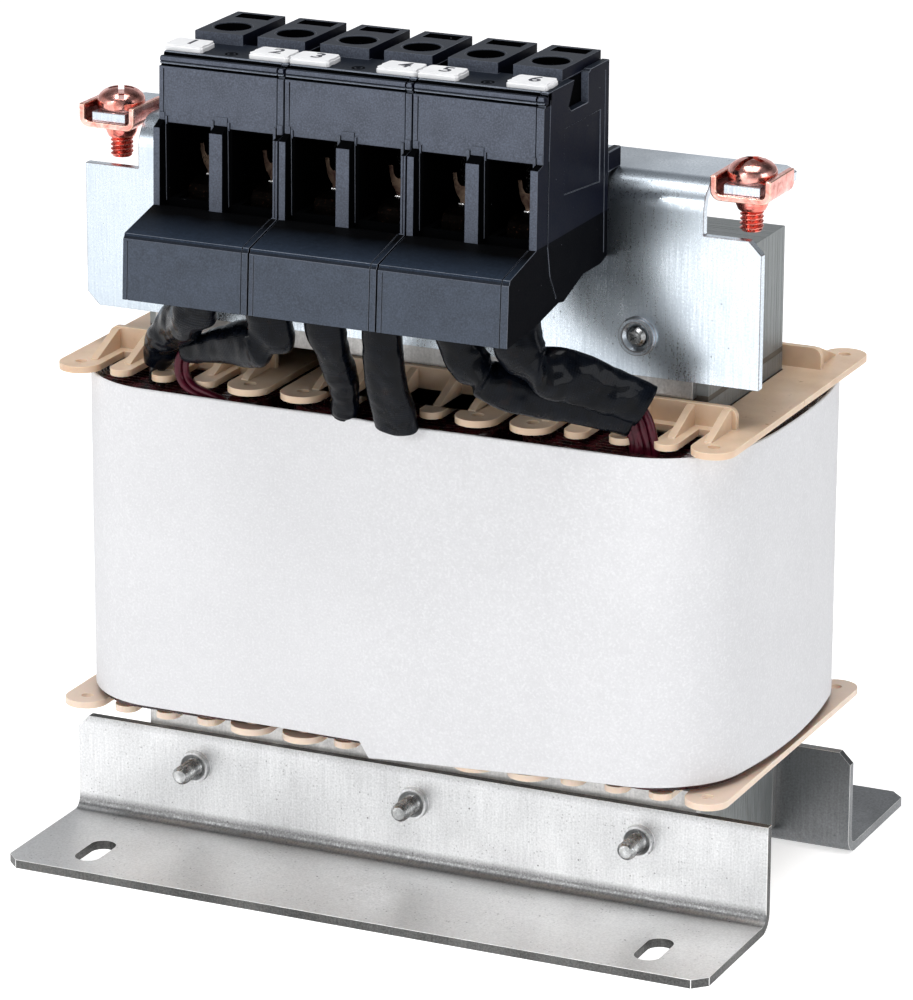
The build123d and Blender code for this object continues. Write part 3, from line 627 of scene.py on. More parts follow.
def lamination(name):
    m = Mat(name)
    t = m.tone()
    run = m.noise(1.0, 4, 0.6, stretch=(9.0, 0.5, 9.0))
    cloud = m.noise(7.0, 4, 0.6, shift=(3, 1, 2))
    col = m.mix(m.math("MULTIPLY", t, 1.0), (0.18, 0.20, 0.195), (0.28, 0.30, 0.295))
    col = m.mix(m.range(run, 0.35, 0.65, 0.0, 0.6), col, (0.36, 0.37, 0.385))
    varn = m.range(cloud, 0.58, 0.72, 0.0, 0.4)
    col = m.mix(varn, col, (0.16, 0.155, 0.14))
    m.set(color=col, rough=m.math("SUBTRACT", m.range(run, 0.3, 0.7, 0.42, 0.58), m.math("MULTIPLY", varn, 0.18)), metal=m.math("SUBTRACT", 0.7, m.math("MULTIPLY", varn, 0.5)),
          normal=m.bump(m.math("ADD", run, m.math("MULTIPLY", cloud, 0.4)), 0.4, 0.06))
    return m.m


def board(name):
    m = Mat(name)
    c = m.noise(2.0, 4, 0.6, stretch=(3, 3, 0.6))
    m.set(color=m.mix(m.range(c, 0.3, 0.7, 0.0, 1.0), (0.06, 0.052, 0.042), (0.13, 0.115, 0.09)), rough=m.range(c, 0.3, 0.7, 0.5, 0.7), normal=m.bump(c, 0.3, 0.08))
    return m.m


def tag_white(name, edge=False):
    m = Mat(name)
    c = m.noise(1.2, 4, 0.6)
    d = m.noise(5.0, 3, 0.5, shift=(1, 1, 1))
    col = m.mix(m.range(d, 0.3, 0.7, 0.0, 1.0), (0.80, 0.80, 0.81), (0.86, 0.86, 0.865))
    m.set(color=col, rough=m.range(c, 0.3, 0.7, 0.34, 0.46), normal=m.bump(c, 0.15, 0.03))
    return m.m


def ink(name):
    m = Mat(name)
    c = m.noise(0.5, 3, 0.6)
    m.set(color=m.mix(m.range(c, 0.4, 0.7, 0.0, 1.0), (0.012, 0.013, 0.022), (0.04, 0.042, 0.06)), rough=m.range(c, 0.3, 0.7, 0.45, 0.6), normal=m.bump(c, 0.2, 0.02))
    return m.m


# one galvanised sheet in lit and shaded copies: the feet's tops lightest as painted light, their fronts darker and the
# rear bracket darkest as painted shade, the edges lighter as painted highlight; cut faces darker as bare steel,
# darkened further as painted shade
GALV = galvanised("galvanised_feet", (1.0, 1.0, 0.995), (0.93, 0.93, 0.925), streak=0.12, base_rough=0.36, speck=0.9, metal=0.92, bend=True)
GALV_F = galvanised("galvanised_feet_front", (0.84, 0.845, 0.85), (0.50, 0.505, 0.51), streak=0.30, base_rough=0.34, speck=0.9, bend=True)
GALV_X = galvanised("galvanised_feet_cut", (0.17, 0.17, 0.165), (0.05, 0.05, 0.05), streak=0.2, base_rough=0.4, speck=0.3)
GALV_E = galvanised("galvanised_feet_edge", (0.90, 0.90, 0.89), (0.70, 0.70, 0.69), edge=True, streak=0.2, base_rough=0.3, speck=0.3)
GALV_REAR_SHADE = galvanised("galvanised_feet_rear_painted_shade", (0.26, 0.27, 0.28), (0.14, 0.145, 0.15), streak=0.35, base_rough=0.30, speck=0.5)
GALV_P = galvanised("galvanised_plate", (0.84, 0.905, 0.965), (0.50, 0.57, 0.64), streak=0.6, base_rough=0.22, speck=0.6, painted_shade=True)
GALV_PE = galvanised("galvanised_plate_edge", (0.46, 0.47, 0.49), (0.22, 0.22, 0.24), streak=0.3, base_rough=0.34, speck=0.3)
BAR = galvanised("drawn_bar", (0.60, 0.59, 0.575), (0.36, 0.355, 0.35), streak=0.4, base_rough=0.32, speck=0.3)
ZINC = zinc("bright_zinc", (0.60, 0.61, 0.61))
WASH = zinc("dull_zinc", (0.22, 0.225, 0.225))
COPPER = copper("earth_copper", (1.0, 0.55, 0.49), (0.60, 0.20, 0.155), 0.17)
# painted highlight: the clamp's and screw's edges take a lighter copper
COPPER_E = copper("earth_copper_edge", (0.98, 0.66, 0.56), (0.80, 0.38, 0.28), 0.2)
COPPER_T = copper("earth_copper_thread", (1.0, 0.33, 0.26), (0.50, 0.10, 0.08), 0.18)
# painted shade: the contact bars, the cages and screws and the spring forks are darkened towards black for the dark
# chambers; the cage's bright copy is a painted highlight
BARCU = copper("bar_copper", (0.0045, 0.0035, 0.003), (0.0015, 0.0012, 0.001), 0.6)
CAGE = zinc("cage_nickel_painted_shade", (0.012, 0.012, 0.012))
CAGE_GLINT = zinc("cage_painted_highlight", (1.0, 1.0, 1.0))
FORK = copper("fork_bronze", (0.115, 0.082, 0.058), (0.032, 0.016, 0.014), 0.3)
# one terminal plastic in lit and shaded copies: the spark-eroded fronts lightest as painted light; the hood, towers,
# deck, shelf, lower sides, undersides and chamber insides darker as painted shade; edges and ridges lighter as painted
# highlight
PLAST = plastic("terminal_plastic", base=(0.0040, 0.0050, 0.0115), rough=0.5, spec=0.04)
PLAST_E = plastic("terminal_plastic_edge", base=(0.040, 0.048, 0.064), rough=0.42, edge=True, spec=0.35)
PLAST_F = plastic("terminal_plastic_sparked_and_lit", base=(0.070, 0.081, 0.108), rough=0.52, grain=0.42, spec=0.25)
PLAST_H = plastic("terminal_plastic_hood", base=(0.042, 0.053, 0.074), rough=0.50, grain=0.42, spec=0.25)
PLAST_N = plastic("terminal_plastic_shelf", base=(0.018, 0.026, 0.041), rough=0.5, spec=0.05, shade=(-90.5, -79.0))
PLAST_L = plastic("terminal_plastic_ridge", base=(0.13, 0.15, 0.185), rough=0.36, spec=0.5, grain=0.4)
PLAST_K = plastic("terminal_plastic_deck", base=(0.0085, 0.0115, 0.018), rough=0.5, spec=0.10)
PLAST_U = plastic("terminal_plastic_below", base=(0.0012, 0.0014, 0.0026), rough=0.7, spec=0.04)
PLAST_D = plastic("terminal_plastic_inside", base=(0.0007, 0.0008, 0.0011), rough=0.85, spec=0.02)
PLAST_T = plastic("terminal_plastic_tower", base=(0.017, 0.021, 0.030), rough=0.52, grain=0.5, spec=0.16)
NYLON = nylon("former_nylon")
NYLON_E = nylon("former_nylon_edge", edge=True)
PAPER = paper("wrap_paper")
SLEEVE = varnished_sleeve("varnished_sleeve")
ENAMEL = enamel("wire_enamel")
FILM = black_film("black_film")
WOUND = wound("varnished_turns")
LAMI = lamination("core_sheets")
BOARD = board("gap_board")
TAG = tag_white("tag_white")
INK = ink("tag_ink")

# ------------------------------------------------------------ brackets, bars
fb = soft_copy("front_foot_bracket", "bracket_front", [GALV, GALV_E], 0.32, 3)
for m in (GALV_F, GALV_X):
    fb.data.materials.append(m)
nf = len(fb.data.materials) - 2
# each face of the front bracket takes a copy by where it faces: fronts, the bend and the collars the darker front copy
# as painted shade; slot walls, lip, ends and cut edges the dark cut copy, bare steel with painted shade
for q in fb.data.polygons:
    c, u = q.center / MM, q.normal
    y = c.y - OY
    slot = abs(u.z) < 0.5 and abs(abs(c.x) - 80.3) < 3.7 and abs(y + 58.6) < 7.8
    lip = abs(u.z) < 0.5 and y < -66 and 0.1 < c.z < 2.4 and q.material_index == 0
    end = abs(u.x) > 0.9 and abs(c.x) > 95 and q.material_index == 0
    collar = -33.2 < y < -31.05 and 14 < c.z < 25.5
    if collar:
        q.material_index = nf
    elif slot or lip or end or (u.z > 0.8 and c.z > 28 and q.material_index == 0) or (abs(u.x) > 0.6 and c.z < 2.45 and q.material_index == 0):
        q.material_index = nf + 1
    elif u.y < -0.8 and q.material_index == 0:
        q.material_index = nf
    elif -33.8 < y < -30.9 and 2.4 < c.z < 5.2 and u.z > 0.05 and u.y < -0.05:
        q.material_index = nf
piece(fb, "galvanised_sheet", "front_foot_bracket")
piece(soft_copy("rear_foot_bracket", "bracket_rear", [GALV_REAR_SHADE, GALV_E], 0.32, 3), "galvanised_sheet", "rear_foot_bracket")
piece(soft_copy("terminal_carrier_plate", "carrier_plate", [GALV_P, GALV_PE], 0.3, 3), "galvanised_sheet", "terminal_carrier_plate")
for nm in ("lower_front_bar", "lower_rear_bar", "upper_front_bar", "upper_rear_bar"):
    piece(soft_copy(nm, nm + "_drawn", [BAR], 0.35, 3), "bar_steel", nm)
piece(soft_copy("air_gap_spacers", "gap_boards", [BOARD], 0.15, 2), "gap_board", "air_gap_spacers")


# ------------------------------------------------------------ laminated core
def sheets(name, outline, y0, y1, n, seed):
    rng = random.Random(seed)
    v, f, tone = [], [], []
    t = (y1 - y0) / n
    k = len(outline)
    for i in range(n):
        dx, dz = rng.uniform(-0.05, 0.05), rng.uniform(-0.05, 0.0)
        a = y0 + i * t + t * 0.03
        b = y0 + (i + 1) * t - t * 0.06
        s = len(v)
        sh = min(1.0, max(0.0, 0.5 + rng.gauss(0, 0.11)))
        for y in (a, b):
            for x, z in outline:
                # every sheet a little short of the outline, never past it
                v.append((x - math.copysign(abs(dx), x), y, z - abs(dz) * (1 if z > 60 else -1)))
                tone.append(sh)
        f.append(tuple(range(s, s + k)))
        f.append(tuple(reversed(range(s + k, s + 2 * k))))
        for j in range(k):
            f.append((s + j, s + k + j, s + k + (j + 1) % k, s + (j + 1) % k))
    return outward(make(name, v, f, [LAMI], smooth=False, tone=tone))


E_OUT = [(-79.2, 2.0), (79.2, 2.0), (79.2, 138.3), (49.6, 138.3), (49.6, 34.3), (14.8, 34.3), (14.8, 138.3), (-14.8, 138.3),
         (-14.8, 34.3), (-49.6, 34.3), (-49.6, 138.3), (-79.2, 138.3)]
piece(sheets("core_sheets_lower", E_OUT, -25.6, 25.6, 102, 11), "core_steel", "core_e_stack")
piece(sheets("core_sheets_upper", [(-79.2, 139.8), (79.2, 139.8), (79.2, 172.1), (-79.2, 172.1)], -25.6, 25.6, 102, 12), "core_steel", "core_top_yoke")

# --------------------------------------------------------------------- bolts
LX, UX = (-64.4, 0.0, 64.4), (-62.0, 62.0)
parts = []
for i, x in enumerate(LX):
    parts.append(threaded("b", 2.5, 0.8, 72.4, (x, 32.0, 19.7), "-y", [ZINC], plain=40.0))
    parts.append(hexhead("b", 8.0, 3.5, (x, 32.0, 19.7), "y", [ZINC]))
piece(joined(parts, "bolts_lower"), "zinc_steel", "lower_core_bolts")
parts = []
for i, x in enumerate(UX):
    parts.append(threaded("b", 2.5, 0.8, 62.4, (x, 29.5, 155.0), "-y", [ZINC], plain=40.0))
    parts.append(hexhead("b", 8.0, 3.5, (x, 29.5, 155.0), "y", [ZINC]))
piece(joined(parts, "bolts_upper"), "zinc_steel", "upper_core_bolts")
WPROF = [(2.8, 0.0), (4.85, 0.0), (5.0, 0.15), (5.0, 0.85), (4.85, 1.0), (2.9, 1.0), (2.75, 0.85), (2.75, 0.1)]


def ring(name, prof, centre, axis, mats, n=48):
    v = []
    for r, h in prof:
        for j in range(n):
            a = 2 * math.pi * j / n
            v.append((r * math.cos(a), r * math.sin(a), h))
    f = grid_faces(len(prof), n)
    last = (len(prof) - 1) * n
    f += [(last + j, last + (j + 1) % n, (j + 1) % n, j) for j in range(n)]
    return outward(make(name, [turned(p, centre, axis) for p in v], f, mats, sharp=35))


piece(joined([ring("w", WPROF, (x, 31.0, 19.7), "y", [WASH]) for x in LX] + [ring("w", WPROF, (x, 28.5, 155.0), "y", [WASH]) for x in UX], "washers"), "zinc_steel", "bolt_washers")

# ------------------------------------------------------------- earth terminals
def u_outline(xc, hw, t, zb, zt, ro, ri):
    """Outline of a bent U, (x, z): outside round, then inside back."""
    o = [(xc - hw, zt)]
    for k in range(9):
        a = math.pi + math.pi / 2 * k / 8
        o.append((xc - hw + ro + ro * math.cos(a), zb + ro + ro * math.sin(a)))
    for k in range(9):
        a = 1.5 * math.pi + math.pi / 2 * k / 8
        o.append((xc + hw - ro + ro * math.cos(a), zb + ro + ro * math.sin(a)))
    o.append((xc + hw, zt))
    o.append((xc + hw - t, zt))
    for k in range(7):
        a = -math.pi / 2 * k / 6
        o.append((xc + hw - t - ri + ri * math.cos(a), zb + t + ri + ri * math.sin(a)))
    for k in range(7):
        a = 1.5 * math.pi - math.pi / 2 * k / 6
        o.append((xc - hw + t + ri + ri * math.cos(a), zb + t + ri + ri * math.sin(a)))
    o.append((xc - hw + t, zt))
    return o


for nm, sx, turn in (("left", -1, 118.0), ("right", 1, 68.0)):
    x, y = sx * 88.6, -22.2
    u = prism("u", u_outline(x, 8.1, 1.65, 192.2, 198.5, 2.7, 1.1), -30.6, -14.2, [COPPER, COPPER_E], plane="xz")
    bevelled(u, 0.38, 3, 40)
    rnd = random.Random(5 + sx)
    for v in u.data.vertices:
        q = v.co / MM
        v.co.z += 0.16 * nz(q.x, q.y, q.z, 5.0, 4 + sx) * MM
        v.co.x += 0.10 * nz(q.x, q.y, q.z, 4.0, 8 + sx) * MM
    neck = lathe("n", [(3.1, -3.6), (3.5, -3.3), (4.0, -2.2), (4.4, -0.9), (5.1, 0.1), (5.0, 0.3)], (x, y, 192.2), "z", 48, [COPPER_T, COPPER_E], sharp=50)
    piece(joined([u, neck], "earth_clamp_u_" + nm), "earth_copper", "earth_clamp_" + nm)
    prof = [(2.0, 0.0), (5.9, 0.0), (6.15, 0.12), (6.3, 0.5), (6.32, 1.5), (6.25, 2.5), (6.0, 3.2), (5.55, 3.85), (4.8, 4.5), (3.8, 5.05), (2.7, 5.42), (1.4, 5.65), (0.6, 5.7)]
    head = lathe("h", prof, (x, y, 196.3), "z", 72, [COPPER, COPPER_E], sharp=60)
    a = math.radians(turn)
    c1 = block("c", -7.5, 7.5, -0.78, 0.78, 199.75, 204)
    c2 = block("c", -0.78, 0.78, -3.3, 3.3, 199.0, 204)
    for c in (c1, c2):
        for v in c.data.vertices:
            px, py = v.co.x / MM, v.co.y / MM - OY
            v.co.x = (x + px * math.cos(a) - py * math.sin(a)) * MM
            v.co.y = (y + px * math.sin(a) + py * math.cos(a) + OY) * MM
    cut(head, c1)
    cut(head, c2)
    head.data.set_sharp_from_angle(angle=math.radians(35))
    bevelled(head, 0.22, 3, 40)
    th = threaded("t", 3.0, 1.2, 13.2, (x, y, 196.6), "-z", [COPPER_T], n=48, tip=0.6)
    piece(joined([head, th], "earth_screw_m6_" + nm), "earth_copper", "earth_screw_" + nm)

# ------------------------------------------------------------ terminal modules
MOD_C = (-34.1, 0.9, 35.9)
MOD_W, TERM_DX, DECK = 35.0, 8.8, 224.7
COV = 2.2
CAVE = [(-90.7, 183.9), (-90.75, 183.05), (-90.85, 182.55), (-91.1, 182.15), (-91.6, 181.85), (-93.0, 181.7), (-93.0, 184.5)]


COVER = [(-68.0, 224.7), (-68.6, 224.4), (-68.6, 222.0), (-70.3, 221.9), (-70.3, 221.45), (-71.1, 221.4), (-71.5, 207.4), (-74.7, 206.6), (-75.2, 186.8), (-91.4, 183.0), (-92.4, 166.4), (-77.8, 167.2), (-61.1, 170.2), (-58.2, 169.7),
         (-46.0, 173.8), (-35.3, 173.8), (-31.0, 174.9), (-31.0, 225.3), (-42.6, 225.3), (-43.4, 224.7)]


def ribbon(line, w):
    """Outline of a thin band along a line of (y, z) points."""
    a, b = [], []
    for i, (y, z) in enumerate(line):
        p, q = line[max(i - 1, 0)], line[min(i + 1, len(line) - 1)]
        dy, dz = q[0] - p[0], q[1] - p[1]
        L = math.hypot(dy, dz)
        a.append((y - dz / L * w, z + dy / L * w))
        b.append((y + dz / L * w, z - dy / L * w))
    return a + b[::-1]


RIM = [ribbon([(-67.2, 222.6), (-68.0, 205.0), (-68.4, 186.0), (-66.8, 178.0), (-63.0, 171.8)], 0.15), ribbon([(-33.4, 223.0), (-33.6, 200.0), (-33.4, 176.4)], 0.15)]


def half_bead(name, x0, x1, yc, zc, ry, rz, mats, k=14):
    """A rounded bead along X with rounded ends, sunk in the wall behind it."""
    v, rows = [], []
    xs = [x0, x0 + 0.12, x0 + 0.35] + [x1 - 0.35, x1 - 0.12, x1]
    sc = [0.72, 0.92, 1.0, 1.0, 0.92, 0.72]
    for x, s in zip(xs, sc):
        for j in range(k + 1):
            a = math.pi * j / k - math.pi / 2
            v.append((x, yc - ry * s * math.cos(a), zc + rz * s * math.sin(a)))
        v.append((x, yc + 0.7, zc + rz * s))
        v.append((x, yc + 0.7, zc - rz * s))
    n = k + 3
    f = grid_faces(len(xs), n)
    f.append(tuple(reversed(range(n))))
    f.append(tuple(range((len(xs) - 1) * n, len(xs) * n)))
    return outward(make(name, v, f, mats, sharp=50))


def dress(o, xc, fitting=False):
    """Each face of the housing takes its own copy of the plastic: the spark-eroded fronts a lighter copy as painted
    light; the hood, the smoother sides and deck, the shelf, lower sides, undersides and chamber walls darker copies as
    painted shade; ridges and edges lighter as painted highlight."""
    me = o.data
    idx = {}
    for m in (PLAST, PLAST_E, PLAST_F, PLAST_H, PLAST_N, PLAST_K, PLAST_U, PLAST_T, PLAST_D, PLAST_L):
        names = [q.name if q else "" for q in me.materials]
        if m.name not in names:
            me.materials.append(m)
            names.append(m.name)
        idx[m.name] = names.index(m.name)
    edge, dark = idx[PLAST_E.name], idx[PLAST_D.name]
    if not fitting:
        bm = bmesh.new()
        bm.from_mesh(me)
        for h in (207.45, 186.9):
            bmesh.ops.bisect_plane(bm, geom=bm.verts[:] + bm.edges[:] + bm.faces[:], plane_co=(0, 0, h * MM), plane_no=(0, 0, 1), dist=1e-6)
        bm.to_mesh(me)
        bm.free()
    vs = me.vertices
    left, right = xc - MOD_W / 2 + 0.3, xc + MOD_W / 2 - 0.9
    for p in me.polygons:
        if fitting and p.material_index in (dark, idx[PLAST_L.name]):
            continue
        c, n = p.center, p.normal
        x, y, z = c.x / MM, c.y / MM - OY, c.z / MM
        zs = [vs[i].co.z / MM for i in p.vertices]
        ys = [vs[i].co.y / MM - OY for i in p.vertices]
        z0, z1, y0 = min(zs), max(zs), min(ys)
        inside = False
        for s in (-1, 1):
            xt = xc + s * TERM_DX
            if abs(x - xt) < 6.02 and -71.3 < y < -37 and 187.95 < z < 207.3:
                inside = True
            if abs(x - xt) < 5.3 and 206 < z < 226.9 and math.hypot(x - xt, y + 47.4) < 5.25:
                inside = True
            if abs(x - xt) < 4.9 and -37.5 < y < -32.3 and 220 < z < 226.9:
                inside = True
        flank = abs(n.x) > 0.6 and (x < left or x > right)
        # painted shade: faces inside the chambers, shafts and pockets, in the mouths, on the ribs' sides and in the
        # right notch take the near-black inside copy; the hood's top edge takes the ridge copy as painted highlight
        if inside:
            k = PLAST_D
        elif n.y < -0.7 and z > 208 and z0 > 207:
            k = PLAST_F
        elif n.y < -0.7 and y < -74.0 and z > 186.5 and z1 < 208:
            k = PLAST_F
        elif 185.2 < z < 208.9 and -74.9 < y < -45 and not flank and not fitting:
            k = PLAST_D
        elif z < 187.6 and z0 > 184 and -84 < y and p.material_index == edge and not flank:
            k = PLAST_D
        elif not flank and abs(n.x) > 0.6 and 181.0 < z < 224 and y < -70:
            k = PLAST_D
        elif not fitting and x > xc + 14 and -56.3 < y < -44.1 and 217.1 < z < 224.3 and abs(n.x) < 0.6 and n.z < 0.98 and p.material_index != edge:
            k = PLAST_D
        elif -90.0 > y and 182.9 < z < 184.3 and p.material_index == edge and abs(n.x) < 0.6:
            k = PLAST_L
        elif -90.0 > y and 181.9 < z < 183.0 and y0 > -91.7 and abs(n.x) < 0.6 and p.material_index != edge:
            k = PLAST_N if y > -90.8 else PLAST_K
        elif n.z < -0.25 and z < 186:
            k = PLAST_U
        elif p.material_index == edge:
            continue
        elif n.y < -0.7:
            k = PLAST_F if (z > 207 or -88 < y < -74) else PLAST_H if y < -88 else PLAST_T
        elif n.z > 0.6:
            k = PLAST_T if z > 226.5 else PLAST_N if z < 187.5 else PLAST_K
        elif z < 184 and abs(n.x) > 0.6:
            k = PLAST_U if y > -76 else PLAST
        else:
            k = PLAST
        p.material_index = idx[k.name]


# the rounded edge of the deck, (y, z), and the copy of the plastic each facet below a point takes: 0 the hood's, 1 the
# ridge copy as painted highlight, 2 the inside copy as painted shade
NOSE = [((-66.4, 224.55), 1), ((-67.9, 224.70), 1), ((-68.12, 224.88), 1), ((-68.42, 224.80), 1), ((-68.52, 224.6), 2), ((-68.7, 223.9), 2), ((-69.4, 223.7), 2),
        ((-69.72, 224.06), 0), ((-70.2, 224.14), 0), ((-70.68, 223.98), 0), ((-70.98, 223.68), 0), ((-71.08, 223.3), 0), ((-70.98, 222.98), 0), ((-70.72, 222.78), 2),
        ((-70.42, 222.66), 1), ((-70.75, 222.62), 1), ((-71.05, 222.48), 1), ((-71.0, 222.26), 2), ((-70.2, 222.1), 2), ((-70.2, 221.3), 0), ((-66.4, 221.3), 0)]


def nose(x0, x1, wide=0.0):
    """A length of the deck's rounded edge; its bead and ridges as in NOSE."""
    pts = [q for q, k in NOSE]
    n = len(pts)
    rows = [(x0, 0.90), (x0 + 0.12, 0.98), (x0 + 0.35, 1.0), (x1 - 0.35, 1.0), (x1 - 0.12, 0.98), (x1, 0.90)]
    v = []
    for x, k in rows:
        for y, z in pts:
            v.append((x, -69.4 + (y + 69.4) * (k + wide), 223.0 + (z - 223.0) * k))
    f = grid_faces(len(rows), n)
    idx = [NOSE[j % n][1] for i in range(len(rows) - 1) for j in range(n)]
    f.append(tuple(reversed(range(n))))
    f.append(tuple(range((len(rows) - 1) * n, len(rows) * n)))
    o = make("nose", v, f, [PLAST_H, PLAST_L, PLAST_D], index=idx + [0, 0], sharp=42)
    return outward(o)


for mi, (nm, xc) in enumerate(zip(("left", "middle", "right"), MOD_C)):
    x0, x1 = xc - MOD_W / 2 + 0.05, xc + MOD_W / 2 - COV - 0.02
    xr = xc + MOD_W / 2 - (0.05 if nm == "right" else 0.42)
    h = soft_copy("terminal_housing_" + nm, "module_housing_" + nm, [PLAST, PLAST_E], 0)
    # cove along the hood's top edge, and the thin line beside the left rim
    cut(h, prism("c", CAVE, x0 - 1, x1 + 1))
    for v in h.data.vertices:
        if v.co.z / MM > 221.7 and v.co.y / MM - OY < -68.6:
            v.co.y = (-68.6 + OY) * MM
    for pts in ([(-71.5, 221.0), (-70.6, 221.0), (-71.3, 208.6), (-72.4, 208.6)], [(-92.0, 181.4), (-91.2, 181.4), (-92.1, 166.0), (-93.0, 166.0)]):
        cut(h, prism("c", pts, x0 + 1.15, x0 + 1.4))
    for m in (PLAST, PLAST_E):
        if m.name not in [q.name for q in h.data.materials]:
            h.data.materials.append(m)
    h.data.set_sharp_from_angle(angle=math.radians(32))
    bevelled(h, 0.3, 2, 32)
    dress(h, xc)
    piece(h, "terminal_plastic", "terminal_housing_" + nm)

    # side cover: its own plate on the module's outline
    c = prism("module_cover_" + nm, COVER, x1 + 0.2, xr, [PLAST, PLAST_E])
    cut(c, prism("c", CAVE, x1 - 1, xr + 1))
    # the rib on its front edge is narrower and slit
    if nm != "right":
        cut(c, block("c", x1 - 1, x1 + 0.55, -77, -71.9, 187.0, 209.5))
        cut(c, block("c", x1 + 1.12, x1 + 1.28, -77, -73.2, 187.0, 209.5))
    cut(c, prism("c", [(-56.2, 218.6), (-54.6, 217.3), (-44.2, 217.3), (-44.2, 228), (-51.1, 228), (-53.2, 224.0)], x1 - 1, xr + 1))
    if nm == "right":
        # thin line along the outline, and the shallow field in the middle
        for pts in RIM:
            cut(c, prism("c", pts, xr - 0.25, xr + 1))
        cut(c, prism("c", [(-58.6, 197.0), (-36.2, 195.2), (-36.2, 213.6), (-58.6, 213.6)], xr - 0.22, xr + 1))
    for m in (PLAST, PLAST_E):
        if m.name not in [q.name for q in c.data.materials]:
            c.data.materials.append(m)
    bevelled(c, 0.28, 2, 32)
    hook = bevelled(block("c", x1 + 0.02, xr, -31.1, -22.8, 196.3, 201.5, [PLAST, PLAST_E]), 0.3, 2, 32)
    c = joined([c, hook], "module_cover_" + nm)
    dress(c, xc)
    piece(c, "terminal_plastic", "terminal_side_cover_" + nm)

    # fittings moulded on the module: beads under the deck, tabs over the ribs,
    # a dimple in the deck and collars on the shafts
    bits = []
    bits.append(nose(x0 + 0.1, x1 - 0.02))
    bits.append(nose(x1 + 0.2, xr, 0.02))
    tabs = []
    tabs.append(block("d", xc - 1.75, xc + 1.75, -71.75, -70.8, 207.4, 210.2, [PLAST_F, PLAST_E]))
    tabs.append(block("d", x0 + 0.1, x0 + 1.7, -71.75, -70.8, 207.4, 209.9, [PLAST_F, PLAST_E]))
    tabs.append(block("d", xr - 1.6, xr - 0.1, -71.8, -70.8, 207.4, 209.9, [PLAST_F, PLAST_E]))
    for xx in (xc - 2.75, xr - 2.6):
        tabs.append(block("d", xx, xx + 0.8, -71.95, -70.8, 205.4, 209.1, [PLAST_F, PLAST_E]))
    for xx in (xc + 1.86, x0 + 1.86):
        tabs.append(block("d", xx, xx + 0.62, -71.95, -70.8, 207.0, 209.1, [PLAST_F, PLAST_E]))
        tabs.append(block("d", xx, xx + 0.30, -71.95, -70.8, 187.2, 208.6, [PLAST_F, PLAST_E]))
    for t in tabs:
        bits.append(bevelled(t, 0.16, 2, 40))
    # painted shade: a thin near-black sheet at the back of the side notch
    bits.append(prism("d", [(-56.1, 218.6), (-54.6, 217.4), (-44.3, 217.4), (-44.3, 224.4), (-53.0, 224.4), (-53.2, 224.0)], x1 + 0.04, x1 + 0.14, [PLAST_D]))
    # dimple, near black as painted shade
    bits.append(ring("d", [(1.15, 0.0), (1.72, 0.0), (1.66, 0.05), (1.55, 0.07), (1.3, 0.07), (1.2, 0.04)], (xc - 0.7, -64.2, DECK), "z", [PLAST_D], 40))
    bits.append(lathe("d", [(0.62, 0.0), (0.6, 0.05), (0.3, 0.08)], (xc - 0.7, -64.2, DECK), "z", 24, [PLAST_D]))
    for s in (-1, 1):
        xt = xc + s * TERM_DX
        # lip round the screwdriver shaft, and the walls inside it
        bits.append(ring("d", [(5.25, 0.0), (5.25, 0.12), (4.95, 0.18), (4.72, 0.02), (4.72, -7.0), (5.25, -7.0)], (xt, -47.4, 227.3), "z", [PLAST_T], 56))
        for a in (0.5, 1.9, 2.6, 4.2):
            xx, yy = xt + 4.55 * math.cos(a), -47.4 + 4.55 * math.sin(a)
            bits.append(bevelled(block("d", xx - 0.35, xx + 0.35, yy - 0.35, yy + 0.35, 212.0, 225.8, [PLAST, PLAST_E]), 0.12, 2, 40))
    d = joined(bits, "module_fittings_" + nm)
    dress(d, xc, True)
    piece(d, "terminal_plastic")

piece(soft_copy("terminal_cages", "clamp_cages", [CAGE, CAGE], 0.25, 2), "cage_steel", "terminal_cages")
piece(soft_copy("terminal_screws", "clamp_screws", [CAGE, CAGE], 0.2, 2), "cage_steel", "terminal_screws")
bars = []
for xt in [xc + s * TERM_DX for xc in MOD_C for s in (-1, 1)]:
    o = [(-67.0, 178.0), (-65.4, 178.0), (-65.4, 188.6), (-64.8, 189.6), (-56.0, 192.3), (-41.8, 192.3), (-41.8, 193.8), (-56.4, 193.8), (-66.0, 190.8), (-67.0, 189.4)]
    bars.append(bevelled(prism("b", o, xt - 3.1, xt + 3.1, [BARCU, BARCU]), 0.3, 2, 30))
piece(joined(bars, "contact_bars"), "bar_copper", "terminal_bars")

# what shows in the mouths: the forked copper spring beside each clamp, darkened as painted shade, and the
# lower corner of its cage, bright as a painted highlight
forks, feet = [], []
for xt in [xc + s * TERM_DX for xc in MOD_C for s in (-1, 1)]:
    o = [(-3.05, 200.0), (-1.75, 200.15), (-1.45, 198.0), (-0.75, 196.9), (0.55, 196.9), (1.25, 198.0), (1.55, 200.15), (2.85, 200.0), (2.5, 197.6), (1.9, 195.4), (0.75, 193.2),
         (0.7, 192.5), (-0.9, 192.5), (-1.0, 193.2), (-2.05, 194.9), (-2.45, 196.2), (-2.75, 198.0)]
    forks.append(bevelled(prism("f", [(xt + x, z) for x, z in o], -60.6, -59.6, [FORK, FORK], plane="xz"), 0.22, 2, 30))
    o = [(-0.95, 192.6), (-1.1, 191.8), (-1.75, 190.7), (-1.6, 190.3), (0.9, 190.2), (0.8, 191.6), (0.6, 192.6)]
    feet.append(bevelled(prism("f", [(xt + x, z) for x, z in o], -61.3, -60.0, [CAGE_GLINT, CAGE_GLINT], plane="xz"), 0.15, 2, 30))
piece(joined(forks, "spring_forks"), "bar_copper")
piece(joined(feet, "cage_feet"), "cage_steel")

